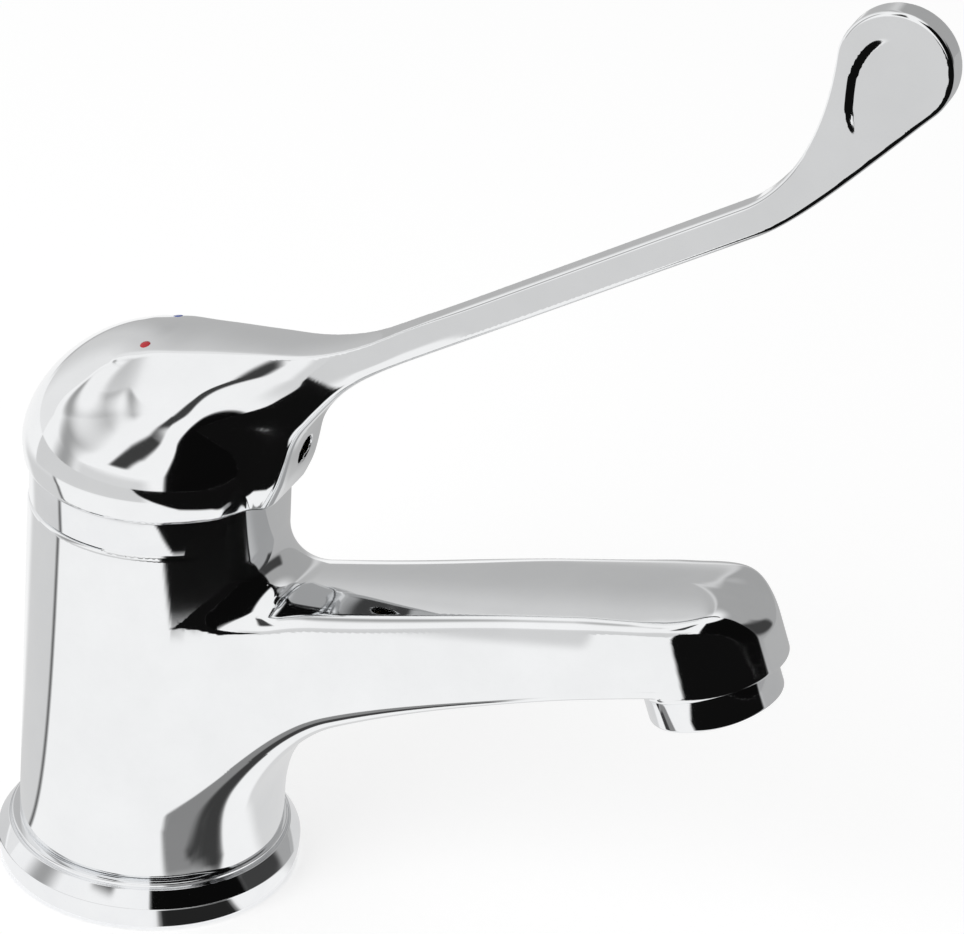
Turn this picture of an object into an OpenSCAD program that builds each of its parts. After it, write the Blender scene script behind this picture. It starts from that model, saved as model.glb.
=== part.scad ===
// Elbow lever tap: a single-lever basin mixer with a cast body and spout,
// a 35 mm ceramic disc cartridge and a long lever that ends in an upright paddle.
// Millimetres, +Z up, origin at the middle of the base, spout along +X.

/* [Base] */
// Outer radius of the base ring
ring_r = 28; // [26:0.5:32]
// Height of the ring's upright outer wall
ring_wall_h = 4.6; // [3:0.2:5.4]
// Height of the ring's ledge, where the body stands on it
ring_h = 8.7; // [8:0.1:10]
// Width of the bevel on the ring's outer top edge
ring_bevel = 0.6; // [0.3:0.1:1]
// Width of the raised inner rim round the foot of the body
ring_rim_w = 1.4; // [1:0.1:2]
// Width of the rubber gasket under the ring
gasket_w = 3; // [2:0.2:3.6]
// Full thickness of the gasket
gasket_h = 1.6; // [1.2:0.1:2.4]
// How far the gasket stands below the ring
gasket_proud = 0.4; // [0.2:0.1:0.8]

/* [Body] */
// Width of the base ring outside the foot of the body
ring_w = 3.9; // [3:0.1:5]
// Radius of the body at its top edge
body_top_r = 23.4; // [23:0.1:24]
// Height of the body's top edge
body_h = 75.2; // [73.6:0.2:80]
// Length of the spigot that plugs the body into the ring
spigot_l = 6; // [3:0.5:7]
// Wall of the hollow foot
foot_wall = 3.6; // [2.6:0.2:4.6]
// Depth of the cartridge chamber below the body's top edge
chamber_h = 33.2; // [32.6:0.1:33.8]
// Thickness of the web under the chamber, which takes the threads
web_h = 14; // [12:0.5:18]
// Depth of the counterbore for the collar's spigot
counterbore_h = 3.6; // [2.5:0.1:5]

/* [Connections] */
// Thread bore radius of the two hose inlets, M10x1
inlet_r = 4.5; // [4.3:0.1:4.8]
// Depth of the inlet threads
inlet_depth = 10; // [8:0.5:11]
// Distance of each inlet from the middle, along X and along Y
inlet_offset = 6.5; // [6:0.1:7]
// Radius of the water ports above the threads
port_r = 3; // [2.4:0.1:3.2]
// Thread bore radius of the fixing stud hole, M8
stud_r = 3.4; // [3:0.1:3.6]
// Depth of the stud hole
stud_depth = 10; // [8:0.5:11]
// Distance of the stud hole in front of the middle
stud_x = 10; // [9:0.5:13]

/* [Spout] */
// Distance from the body's axis to the middle of the outlet
reach = 106.5; // [98:0.5:120]
// Height of the outlet's lower rim
outlet_z = 62.4; // [58:0.2:66]
// Tilt of the outlet's axis
outlet_tilt = 21; // [12:1:26]
// Half width of the spout's straight part
spout_half_w = 13.2; // [12.4:0.1:14]
// Depth of the spout near its nose
spout_deep = 18.6; // [17:0.2:20]
// Extra depth of the spout at its root
spout_root_deep = 8.8; // [6:0.2:10]
// Extra half width of the spout where it flares into the body
spout_flare = 7.5; // [5:0.5:8.5]
// Length over which the flare dies out
flare_l = 11; // [8:0.5:14]
// Height of the valley between spout and body
valley_z = 66.8; // [64:0.2:68]
// Radius of the cove between the spout's top and the body
cove_r = 7.5; // [5:0.5:8]
// Radius of the nose round the outlet
nose_r = 13.5; // [13.1:0.1:14.5]
// Height of the nose above the outlet's rim, along the outlet's axis
nose_h = 23; // [21.5:0.5:25]
// Height of the rounded top of the nose
nose_round_h = 10; // [7:0.5:12]
// Radius of the duct inside the spout
duct_r = 4.5; // [3.5:0.1:5]

/* [Aerator] */
// Outer radius of the aerator's visible collar
aerator_r = 12; // [11.6:0.1:12.6]
// Height of the visible collar
aerator_h = 6; // [5:0.5:7]
// Radius of the aerator's M22x1 thread
aerator_thread_r = 11; // [10.6:0.1:11.3]
// Length of the thread
aerator_thread_l = 7; // [5:0.5:8]
// Wall of the aerator housing
aerator_wall = 1.5; // [1.2:0.1:1.8]
// Thickness of the rubber washer above the aerator
washer_h = 1.5; // [1:0.1:2]

/* [Cartridge] */
// Radius of the cartridge, 35 mm across
cart_r = 17.5; // [17.3:0.1:17.8]
// Height of the cartridge base
cart_base_h = 10; // [9.8:0.1:10.4]
// Height from the chamber floor to the shoulder under the nut
cart_shoulder_h = 27; // [26.6:0.1:27.6]
// Radius of the neck above the shoulder
cart_neck_r = 12.8; // [12.4:0.1:13.2]
// Height from the chamber floor to the top of the neck
cart_top_h = 38; // [37:0.1:38.4]
// Radius of the fixed ceramic disc
fixed_disc_r = 12.5; // [12.2:0.1:13]
// Thickness of the fixed ceramic disc
fixed_disc_h = 3.9; // [3.6:0.1:4.2]
// Radius of the moving ceramic disc
moving_disc_r = 9.5; // [9:0.1:9.8]
// Thickness of the moving ceramic disc
moving_disc_h = 4.5; // [4.3:0.1:4.7]
// Radius of the coupler on the moving disc
coupler_r = 10.2; // [9.9:0.1:10.4]
// Height of the coupler
coupler_h = 4.8; // [4.6:0.1:5]
// Height from the chamber floor to the stem's pivot pin
pivot_h = 29; // [28.8:0.1:29.4]
// Thickness of the coupler's floor, under the foot of the stem
coupler_floor = 0.7; // [0.6:0.05:1]
// Side of the square stem
stem_w = 8; // [7:0.1:8.4]
// Length of the stem above the pin
stem_l = 28; // [26:0.2:28.4]
// Radius of the pivot pin
pin_r = 1.6; // [1.3:0.1:2]
// Radius of the rotor in the neck
rotor_r = 10.5; // [10.4:0.05:10.6]
// Cross-section diameter of the housing's sealing ring
seal_d = 2; // [1.6:0.1:2.4]

/* [Nut and collar] */
// Radius of the nut's thread
nut_r = 19.5; // [19.2:0.1:20]
// Height of the nut's threaded part
nut_thread_h = 6; // [5:0.2:6.6]
// Distance across the flats of the nut's hexagon
nut_flats = 34.5; // [33:0.5:34.5]
// Height of the nut's hexagon
nut_hex_h = 3; // [2:0.2:4]
// Outer radius of the collar
collar_r = 23.2; // [23:0.1:23.3]
// Height of the collar above the body
collar_h = 6.8; // [6:0.2:8]
// Wall of the collar
collar_wall = 1.8; // [1.2:0.1:1.9]

/* [Lever] */
// Radius of the lever's dome
dome_r = 24.6; // [24.5:0.1:25.2]
// Height of the dome's upright skirt
skirt_h = 3.1; // [2:0.1:4]
// Height of the rounded part of the dome
crown_h = 22.9; // [21.5:0.1:25]
// Inner radius of the dome's lip
lip_r = 23.6; // [23.55:0.05:23.7]
// Height of the hollow inside the dome
hollow_h = 15.6; // [14:0.2:16.4]
// Radius of the boss round the stem
boss_r = 8; // [7.4:0.1:8.4]
// Height of the boss's lower end above the lip
boss_z = 3.8; // [3.6:0.1:6]
// Depth of the dish cut into each flank of the dome
flank_dish = 1; // [0.5:0.1:1.6]
// Slope of the arm
arm_angle = 32.3; // [28:0.1:36]
// Depth of the arm, seen from the side
arm_deep = 5.6; // [4.6:0.1:6.4]
// Thickness of the arm across
arm_thick = 6; // [5:0.1:7]
// Distance from the body's axis to the end of the straight arm
arm_reach = 104; // [90:1:115]
// Thickness of the paddle across
paddle_thick = 5; // [4:0.1:6]
// Radius of the paddle's round head
paddle_r = 9.5; // [8:0.1:11]
// How far the paddle's middle lies beyond the straight arm
paddle_dx = 20.7; // [17:0.1:24]
// How far the paddle's middle lies above the end of the straight arm
paddle_dz = 31; // [26:0.2:34]
// Radius of the grub screw, M5
grub_r = 2.5; // [2:0.1:3]
// Length of the grub screw
grub_l = 8; // [6:0.5:10]
// Distance of the grub screw below the top of the stem
grub_down = 7.8; // [6.5:0.1:9]
// Radius of the hot and cold marks
mark_r = 0.95; // [0.7:0.05:1.2]
// Distance of the marks from the middle
mark_y = 6.5; // [5.5:0.1:7]

/* [Clearances] */
// Radial clearance of parts that are fitted once
fit_gap = 0.1; // [0.05:0.01:0.15]
// Radial clearance of parts that turn or slide
run_gap = 0.1; // [0.06:0.01:0.15]
// Gap between the lever's lip and the collar
lip_gap = 0.4; // [0.3:0.1:0.6]
// Water film between the two ceramic discs
film_gap = 0.05; // [0.02:0.01:0.08]

/* [Hidden] */
$fn = 96;
eps = 0.01;
// Length by which a cutting tool passes the face it opens
past = 1;

// Body: radius at its foot, floor of the cartridge chamber, underside of the web
foot_r = ring_r - ring_w;
floor_z = body_h - chamber_h;
web_z = floor_z - web_h;

// Cartridge: walls, gaps and heights of the stack
housing_wall = 2.4;
disc_proud = 1;
slide_gap = 0.3;
flange_gap = 0.4;
rail_h = 3;
slot_back = 8.95;
slot_front = 7;
foot_cyl_r = 2.5;
outlet_port_x = 7;
chamber_r = cart_r + fit_gap;
base_top = floor_z + cart_base_h;
disc_gasket_h = 0.8;
disc_top = base_top + disc_proud;
disc_z = disc_top - fixed_disc_h;
disc_seat_z = disc_z - disc_gasket_h;
moving_z = disc_top + film_gap;
coupler_z = moving_z + moving_disc_h;
coupler_top = coupler_z + coupler_h;
shoulder_z = floor_z + cart_shoulder_h;
neck_top = floor_z + cart_top_h;
pivot_z = floor_z + pivot_h;
foot_z = coupler_z + coupler_floor + slide_gap + foot_cyl_r;
stem_top = pivot_z + stem_l;
cavity_r = cart_r - housing_wall;
cavity_top = shoulder_z - housing_wall;
rotor_bottom = coupler_top + slide_gap;
flange_top = cavity_top - flange_gap / 2;
flange_r = cavity_r - flange_gap;
rail_inner = coupler_r + run_gap;
collar_spigot_r = collar_r - collar_wall;
collar_z = body_h;
collar_top = collar_z + collar_h;
lip_z = collar_top + lip_gap;

// Superellipse and curve helpers
function spow(v, e) = sign(v) * pow(abs(v), e);
function mix(a, b, t) = a + (b - a) * t;
function bez3(a, b, c, d, t) =
  pow(1 - t, 3) * a + 3 * t * pow(1 - t, 2) * b + 3 * t * t * (1 - t) * c + pow(t, 3) * d;
function bez2(a, b, c, t) = pow(1 - t, 2) * a + 2 * t * (1 - t) * b + t * t * c;
function unit(v) = v / norm(v);

// Closed ring of points: middle c, half axis a along u, half axis b along v
function oval(c, u, a, v, b, square, count) = [for (i = [0:count - 1])
  let (q = 360 * i / count, e = 2 / square) c + u * a * spow(cos(q), e) + v * b * spow(sin(q), e)];

// Solid through a list of rings that all have the same number of points
module loft(rings) {
  n = len(rings[0]);
  m = len(rings);
  sides = [for (k = [0:m - 2]) for (i = [0:n - 1]) let (j = (i + 1) % n)
    each [[k * n + j, k * n + i, (k + 1) * n + j], [(k + 1) * n + j, k * n + i, (k + 1) * n + i]]];
  first = [for (i = [1:n - 2]) [0, i, i + 1]];
  last = [for (i = [1:n - 2]) [(m - 1) * n, (m - 1) * n + i + 1, (m - 1) * n + i]];
  polyhedron([for (r = rings) each r], concat(sides, first, last));
}

module tube(r_out, r_in, z, h) {
  translate([0, 0, z])
    difference() {
      cylinder(r = r_out, h = h);
      translate([0, 0, -eps])
        cylinder(r = r_in, h = h + 2 * eps);
    }
}

module hole(x, y, z, r, h) {
  translate([x, y, z])
    cylinder(r = r, h = h);
}

// Round bar between two points of the XZ plane
module bar(a, b, r) {
  d = b - a;
  translate([a[0], 0, a[1]])
    rotate([0, 90 - atan2(d[1], d[0]), 0])
      cylinder(r = r, h = norm(d));
}

// Frame of the outlet: origin at the middle of its lower rim, +Z up its axis
module at_outlet() {
  translate([reach, 0, outlet_z])
    rotate([0, -outlet_tilt, 0])
      children();
}

function outlet_point(t) = [reach - sin(outlet_tilt) * t, outlet_z + cos(outlet_tilt) * t];

// Base ring and gasket
ring_ledge = 1.6;
gasket_inset = 1;
groove_w = 0.5;
groove_up = 0.8;
groove_d = 0.3;
rim_edge = 0.2;
ring_in = foot_r - ring_ledge;
gasket_r = ring_r - gasket_inset;
gasket_in = gasket_r - gasket_w;
rim_r = foot_r + ring_rim_w;

module base_ring() {
  groove = gasket_h - gasket_proud;
  color("silver")
    difference() {
      rotate_extrude()
        polygon([[ring_in, gasket_proud], [ring_r, gasket_proud], [ring_r, ring_wall_h],
          [ring_r - ring_bevel, ring_wall_h + ring_bevel], [rim_r + groove_w, ring_h - groove_up],
          [rim_r, ring_h - groove_up - groove_d], [rim_r, ring_h - rim_edge], [rim_r - rim_edge, ring_h],
          [ring_in, ring_h]]);
      tube(gasket_r, gasket_in, gasket_proud - eps, groove + eps);
    }
}

module base_gasket() {
  color("dimgray")
    tube(gasket_r, gasket_in, 0, gasket_h);
}

// Cast body with its spout
spout_root_x = body_top_r + cove_r;
crown_point = outlet_point(nose_h);
spout_slope = (crown_point[1] - valley_z) / (crown_point[0] - spout_root_x);
spout_start_x = 8;
spout_end_x = outlet_point(nose_h / 2)[0];
spout_square = 3.2;
spout_taper = 1.6;
cove_edge = 0.6;
cove_lead = 1.5;

function spout_line(x) = valley_z + (x - spout_root_x) * spout_slope;
function cove(x) = x >= spout_root_x ? 0 :
  cove_r - sqrt(max(0, cove_r * cove_r - pow(spout_root_x - max(x, body_top_r), 2)));
function spout_top(x) = x >= spout_root_x ? spout_line(x)
  : min(spout_line(x) + cove(x), body_h - cove_edge);
function spout_depth(x) = spout_deep
  + spout_root_deep * pow(max(0, (spout_end_x - x) / (spout_end_x - body_top_r)), spout_taper);
function spout_width(x) = spout_half_w + spout_flare * exp(-max(0, x - body_top_r) / flare_l);
function spout_ring(x) = let (top = spout_top(x), low = spout_line(x) - spout_depth(x))
  oval([x, 0, (top + low) / 2], [0, 1, 0], spout_width(x), [0, 0, 1], (top - low) / 2, spout_square, 36);

module spout_beam() {
  cove_steps = 7;
  beam_steps = 12;
  xs = concat([spout_start_x, body_top_r - cove_lead],
    [for (i = [1:cove_steps]) body_top_r + cove_r * i / cove_steps],
    [for (i = [1:beam_steps]) mix(spout_root_x, spout_end_x, i / beam_steps)]);
  loft([for (x = xs) spout_ring(x)]);
}

module spout_nose() {
  lower_edge = 0.8;
  steps = 10;
  round_power = 0.8;
  at_outlet()
    rotate_extrude()
      polygon(concat([[0, aerator_h], [nose_r - lower_edge, aerator_h], [nose_r, aerator_h + lower_edge]],
        [for (i = [0:steps]) let (q = 90 * i / steps)
          [nose_r * pow(cos(q), round_power), nose_h - nose_round_h * (1 - pow(sin(q), round_power))]]));
}

module body_shell() {
  rotate_extrude()
    polygon([[0, ring_h - spigot_l], [ring_in - fit_gap, ring_h - spigot_l], [ring_in - fit_gap, ring_h],
      [foot_r, ring_h], [body_top_r, body_h], [0, body_h]]);
}

seat_t = aerator_h + aerator_thread_l + washer_h;
nut_relief = 0.6;
duct_up = 7;
duct_start = [chamber_r - duct_r, floor_z + duct_up];
duct_end = outlet_point(seat_t - past);

module body_bores() {
  hole(0, 0, ring_h - spigot_l - past, foot_r - foot_wall, web_z - ring_h + spigot_l + past);
  hole(0, 0, floor_z, chamber_r, body_h - floor_z + past);
  hole(0, 0, shoulder_z - nut_relief, nut_r + fit_gap, body_h - shoulder_z + past);
  hole(0, 0, body_h - counterbore_h, collar_spigot_r + fit_gap, counterbore_h + past);
  for (side = [-1, 1]) {
    hole(-inlet_offset, side * inlet_offset, web_z - past, inlet_r, inlet_depth + past);
    hole(-inlet_offset, side * inlet_offset, web_z, port_r, floor_z - web_z + past);
  }
  hole(stud_x, 0, web_z - past, stud_r, stud_depth + past);
  bar(duct_start, duct_end, duct_r);
  at_outlet() {
    hole(0, 0, aerator_h - past, aerator_thread_r + fit_gap, seat_t - aerator_h + past);
    hole(0, 0, aerator_h - nose_h, nose_r + past, nose_h);
  }
}

module tap_body() {
  color("gainsboro")
    difference() {
      union() {
        body_shell();
        spout_beam();
        spout_nose();
      }
      body_bores();
    }
}

// Collar and clamping nut
module collar() {
  edge = 0.3;
  spigot_wall = 1;
  spigot_gap = 0.2;
  spigot_in = collar_spigot_r - spigot_wall;
  spigot_z = collar_z - counterbore_h + spigot_gap;
  color("silver")
    rotate_extrude()
      polygon([[spigot_in, spigot_z], [collar_spigot_r, spigot_z],
        [collar_spigot_r, collar_z], [collar_r - edge, collar_z], [collar_r, collar_z + edge],
        [collar_r, collar_top - edge], [collar_r - edge, collar_top], [collar_spigot_r, collar_top],
        [spigot_in, collar_z + spigot_wall]]);
}

module clamp_nut() {
  nut_bore = cart_neck_r + slide_gap;
  hex_z = shoulder_z + nut_thread_h;
  color("goldenrod")
    difference() {
      union() {
        hole(0, 0, shoulder_z, nut_r, nut_thread_h);
        translate([0, 0, hex_z])
          cylinder(r = nut_flats / sqrt(3), h = nut_hex_h, $fn = 6);
      }
      hole(0, 0, shoulder_z - past, nut_bore, nut_thread_h + nut_hex_h + 2 * past);
    }
}

// Ceramic disc cartridge: fixed pieces
seal_squeeze = 0.3;
seal_up = 10.3;
seal_groove_r = cart_r - seal_d + seal_squeeze;
seal_z = base_top + seal_up;

module cartridge_housing() {
  color("white")
    difference() {
      union() {
        hole(0, 0, base_top, cart_r, shoulder_z - base_top);
        hole(0, 0, base_top, cart_neck_r, neck_top - base_top);
      }
      hole(0, 0, base_top - past, cavity_r, cavity_top - base_top + past);
      hole(0, 0, base_top, rotor_r + run_gap, neck_top - base_top + past);
      tube(cart_r + past, seal_groove_r, seal_z - seal_d / 2, seal_d);
    }
}

module housing_seal() {
  touch = 0.02;
  ring_radius = (seal_groove_r + chamber_r) / 2;
  color("black")
    translate([0, 0, seal_z])
      rotate_extrude()
        translate([ring_radius, 0])
          circle(r = (chamber_r - seal_groove_r) / 2 - touch, $fn = 32);
}

inlet_seal_r = 4.9;
inlet_seal_h = 2.2;
inlet_seal_gap = 0.2;
window_up = 2.5;
disc_wall = 1.6;

module cartridge_base() {
  window_w = 10;
  window_low = floor_z + window_up;
  roof = 1;
  color("ivory")
    difference() {
      hole(0, 0, floor_z, cart_r - fit_gap, cart_base_h);
      hole(0, 0, disc_seat_z, fixed_disc_r + fit_gap, base_top - disc_seat_z + past);
      for (side = [-1, 1]) {
        hole(-inlet_offset, side * inlet_offset, floor_z - past, port_r, cart_base_h + 2 * past);
        hole(-inlet_offset, side * inlet_offset, floor_z - past, inlet_seal_r, inlet_seal_h + past);
      }
      hole(outlet_port_x, 0, window_low, port_r, cart_base_h);
      translate([outlet_port_x, -window_w / 2, window_low])
        cube([cart_r, window_w, disc_seat_z - roof - window_low]);
      translate([fixed_disc_r + disc_wall, -window_w / 2, window_low])
        cube([cart_r, window_w, cart_base_h]);
    }
}

module inlet_seals() {
  color("black")
    for (side = [-1, 1])
      translate([-inlet_offset, side * inlet_offset, 0])
        tube(inlet_seal_r - fit_gap, port_r + inlet_seal_gap, floor_z, inlet_seal_h);
}

// The two inlet ports and the outlet port in the gasket and the fixed disc
module disc_ports(z, h) {
  throat = 0.4;
  for (side = [-1, 1])
    hole(-inlet_offset, side * inlet_offset, z - past, port_r - throat, h + 2 * past);
  hole(outlet_port_x, 0, z - past, port_r, h + 2 * past);
}

module disc_gasket() {
  color("black")
    difference() {
      hole(0, 0, disc_seat_z, fixed_disc_r, disc_gasket_h);
      disc_ports(disc_seat_z, disc_gasket_h);
    }
}

module fixed_disc() {
  color("whitesmoke")
    difference() {
      hole(0, 0, disc_z, fixed_disc_r, fixed_disc_h);
      disc_ports(disc_z, fixed_disc_h);
    }
}

// Ceramic disc cartridge: moving pieces
module moving_disc() {
  mixing_r = 4.2;
  mixing_h = 2.4;
  mixing_x = 2.4;
  color("whitesmoke")
    difference() {
      hole(0, 0, moving_z, moving_disc_r, moving_disc_h);
      hole(mixing_x, 0, moving_z - past, mixing_r, mixing_h + past);
    }
}

module disc_coupler() {
  foot_play = 0.2;
  pocket_half = foot_cyl_r + foot_play;
  pocket_side = stem_w / 2 + slide_gap;
  pocket_floor = coupler_z + coupler_floor;
  color("slategray")
    difference() {
      hole(0, 0, coupler_z, coupler_r, coupler_h);
      translate([-pocket_half, -pocket_side, pocket_floor])
        cube([2 * pocket_half, 2 * pocket_side, coupler_top - pocket_floor + past]);
    }
}

module rotor() {
  rail_l = 13;
  slot_w = stem_w + slide_gap;
  color("dimgray")
    difference() {
      union() {
        hole(0, 0, rotor_bottom, flange_r, flange_top - rotor_bottom);
        hole(0, 0, rotor_bottom, rotor_r, neck_top - rotor_bottom);
        intersection() {
          hole(0, 0, rotor_bottom - rail_h, flange_r, rail_h + eps);
          for (side = [-1, 1])
            translate([-rail_l / 2, side > 0 ? rail_inner : -flange_r, rotor_bottom - rail_h])
              cube([rail_l, flange_r - rail_inner, rail_h + eps]);
        }
      }
      translate([-slot_back, -slot_w / 2, rotor_bottom - rail_h])
        cube([slot_back + slot_front, slot_w, neck_top - rotor_bottom + rail_h + past]);
      translate([0, 0, pivot_z])
        rotate([90, 0, 0])
          cylinder(r = pin_r + fit_gap / 4, h = 2 * (rotor_r + past), center = true);
    }
}

module pivot_pin() {
  color("lightgray")
    translate([0, 0, pivot_z])
      rotate([90, 0, 0])
        cylinder(r = pin_r, h = 2 * (sqrt(rotor_r * rotor_r - pin_r * pin_r) - slide_gap), center = true);
}

module stem() {
  foot_step = 0.6;
  pin_wall = 2.4;
  shank = foot_cyl_r - foot_step;
  below_pin = pin_r + pin_wall;
  color("goldenrod")
    difference() {
      union() {
        translate([-stem_w / 2, -stem_w / 2, pivot_z - below_pin])
          cube([stem_w, stem_w, stem_l + below_pin]);
        translate([-shank, -stem_w / 2, foot_z])
          cube([2 * shank, stem_w, pivot_z - foot_z]);
        translate([0, 0, foot_z])
          rotate([90, 0, 0])
            cylinder(r = foot_cyl_r, h = stem_w, center = true);
      }
      translate([0, 0, pivot_z])
        rotate([90, 0, 0])
          cylinder(r = pin_r + run_gap / 2, h = stem_w + 2 * past, center = true);
    }
}

// Lever: dome, neck, arm and paddle
crown_base = lip_z + skirt_h;
crown_z = crown_base + crown_h;
crown_power = 1.87;
crown_bulge = 1.66;

function dome_at(s) = [dome_r * pow(1 - pow(s, crown_power), 1 / crown_bulge), crown_base + crown_h * s];

module dome() {
  steps = 18;
  edge = 0.4;
  rotate_extrude()
    polygon(concat([[0, lip_z], [dome_r - edge, lip_z], [dome_r, lip_z + edge]],
      [for (i = [0:steps]) dome_at(sin(90 * i / steps))]));
}

// Line of the arm's middle, and the paddle's middle at its end
arm_root_x = 46;
arm_root_up = 34.5;
bend_share = 0.66;
arm_root = [arm_root_x, lip_z + arm_root_up];
arm_dir = [cos(arm_angle), sin(arm_angle)];
arm_end = arm_root + arm_dir * (arm_reach - arm_root[0]) / arm_dir[0];
paddle_mid = arm_end + [paddle_dx, paddle_dz];
bend_mid = arm_end + arm_dir * paddle_dx * bend_share;
paddle_dir = unit(paddle_mid - bend_mid);
arm_square = 3.6;
neck_square = 2.1;
neck_sharpen = 3.5;
// Guides of the neck's top edge: shares of the arm root's distance and of the crown's height
neck_crest = [[0, -0.01], [0.35, 0.09], [0.65, 0.09]];
// Guides of the neck's front edge: shares of the dome's radius and of the crown's height
neck_front = [[0.96, 0.04], [1.16, 0.46], [1.12, 0.79]];
// Half widths of the neck: shares of the dome's radius
neck_waist = [0.69, 0.4, 0.28];

function in_plane(p) = [p[0], 0, p[1]];

// Ring whose highest and lowest points are given, in the lever's mid plane
function lever_ring(top, low, thick, square) =
  oval(in_plane((top + low) / 2), [0, 1, 0], thick, in_plane(unit(top - low)), norm(top - low) / 2, square, 28);
function arm_ring(p, dir, deep, thick) = let (n = [-dir[1], dir[0]] * deep)
  lever_ring(p + n, p - n, thick, arm_square);

// Neck that carries the dome's top and front into the arm, then arm and paddle
module lever_blade() {
  neck_steps = 14;
  bend_steps = 10;
  head_steps = 8;
  bend_swell = 2.6;
  head_end = 88;
  head_round = 0.3;
  edge = [-arm_dir[1], arm_dir[0]] * arm_deep / 2;
  crest = [for (p = neck_crest) [p[0] * arm_root_x, crown_z + p[1] * crown_h]];
  front = [for (p = neck_front) [p[0] * dome_r, lip_z + p[1] * crown_h]];
  waist = neck_waist * dome_r;
  neck = [for (i = [0:neck_steps]) let (t = i / neck_steps,
    top = bez3(crest[0], crest[1], crest[2], arm_root + edge, t),
    low = bez3(front[0], front[1], front[2], arm_root - edge, t),
    width = bez3(waist[0], waist[1], waist[2], arm_thick / 2, t))
    lever_ring(top, low, width, mix(neck_square, arm_square, min(1, neck_sharpen * t)))];
  straight = [for (t = [0.25, 0.5, 0.75])
    arm_ring(mix(arm_root, arm_end, t), arm_dir, arm_deep / 2, arm_thick / 2)];
  bend = [for (i = [0:bend_steps]) let (t = i / bend_steps)
    arm_ring(bez2(arm_end, bend_mid, paddle_mid, t), unit(mix(bend_mid - arm_end, paddle_mid - bend_mid, t)),
      mix(arm_deep / 2, paddle_r, pow(t, bend_swell)), mix(arm_thick, paddle_thick, t) / 2)];
  head = [for (i = [1:head_steps]) let (q = head_end * i / head_steps)
    arm_ring(paddle_mid + paddle_dir * paddle_r * sin(q), paddle_dir, paddle_r * cos(q),
      paddle_thick / 2 * pow(cos(q), head_round))];
  loft(concat(neck, straight, bend, head));
}

// Long shallow dish along one flank of the dome, cut by a round tool
dish_r = 16;
dish_y = 25;
dish_z = 5;

module flank_dish_cut(side) {
  turn = 5.3;
  drop = 2.9;
  translate([0, side * (dish_y - flank_dish), crown_z + dish_z - flank_dish])
    rotate([0, 90 + drop, -side * turn])
      cylinder(r = dish_r, h = 4 * dome_r, center = true);
}

module dome_hollow() {
  ceiling = lip_z + hollow_h;
  // The hollow's rounded corner: shares of its radius and of its height
  corner = [[0.45, 1], [0.62, 0.8], [0.9, 0.4]];
  rotate_extrude()
    polygon(concat([[boss_r, ceiling]], [for (c = corner) [lip_r * c[0], lip_z + hollow_h * c[1]]],
      [[lip_r, lip_z + skirt_h], [lip_r, lip_z - past], [boss_r, lip_z - past]]));
  hole(0, 0, lip_z - past, boss_r + eps, boss_z + past);
}

grub_z = stem_top - grub_down;
mark_h = 0.6;
mark_proud = 0.05;
mark_x = -0.7;

// Place of a mark on the dome, turned to stand square on its surface
module mark_place(side) {
  s = pow(1 - pow(mark_y / dome_r, crown_bulge), 1 / crown_power);
  run = dome_r / crown_bulge * pow(mark_y / dome_r, 1 - crown_bulge) * crown_power * pow(s, crown_power - 1);
  translate([mark_x, side * mark_y, crown_base + crown_h * s])
    rotate([-side * atan2(crown_h, run), 0, 0])
      children();
}

module lever_handle() {
  socket_w = stem_w + 2 * fit_gap;
  socket_top = stem_top + fit_gap;
  color("gainsboro")
    difference() {
      union() {
        dome();
        lever_blade();
      }
      dome_hollow();
      for (side = [-1, 1]) {
        flank_dish_cut(side);
        mark_place(side)
          translate([0, 0, -mark_h])
            cylinder(r = mark_r + fit_gap / 2, h = mark_h + past);
      }
      translate([-socket_w / 2, -socket_w / 2, lip_z - past])
        cube([socket_w, socket_w, socket_top - lip_z + past]);
      translate([0, 0, grub_z])
        rotate([0, 90, 0])
          cylinder(r = grub_r + fit_gap, h = 2 * dome_r);
    }
}

module grub_screw() {
  socket_r = 1.45;
  socket_depth = 2.5;
  color("dimgray")
    translate([stem_w / 2 + fit_gap / 2, 0, grub_z])
      rotate([0, 90, 0])
        difference() {
          cylinder(r = grub_r, h = grub_l);
          translate([0, 0, grub_l - socket_depth])
            cylinder(r = socket_r, h = socket_depth + past, $fn = 6);
        }
}

module mark(side, tone) {
  color(tone)
    mark_place(side)
      translate([0, 0, mark_proud - mark_h])
        cylinder(r = mark_r, h = mark_h);
}

module hot_mark() {
  mark(-1, "firebrick");
}

module cold_mark() {
  mark(1, "royalblue");
}

// Aerator, in the outlet's own frame
aerator_rim = 1.2;
screen_h = 1;
screen_sink = 2;
insert_r = aerator_thread_r - aerator_wall;
insert_top = aerator_h + aerator_thread_l - screen_sink - screen_h;

module aerator_housing() {
  edge = 0.5;
  color("silver")
    at_outlet()
      rotate_extrude()
        polygon([[insert_r - aerator_rim, 0], [aerator_r - edge, 0], [aerator_r, edge], [aerator_r, aerator_h],
          [aerator_thread_r, aerator_h], [aerator_thread_r, aerator_h + aerator_thread_l],
          [insert_r, aerator_h + aerator_thread_l], [insert_r, aerator_rim],
          [insert_r - aerator_rim, aerator_rim]]);
}

module aerator_insert() {
  cell_r = 0.9;
  pitch = 2.6;
  rows = 2;
  color("whitesmoke")
    at_outlet()
      difference() {
        hole(0, 0, aerator_rim, insert_r - fit_gap, insert_top - aerator_rim);
        hole(0, 0, 0, cell_r, insert_top + past);
        for (k = [1:rows], i = [0:6 * k - 1])
          rotate([0, 0, 60 * i / k])
            hole(k * pitch, 0, 0, cell_r, insert_top + past);
      }
}

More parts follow.
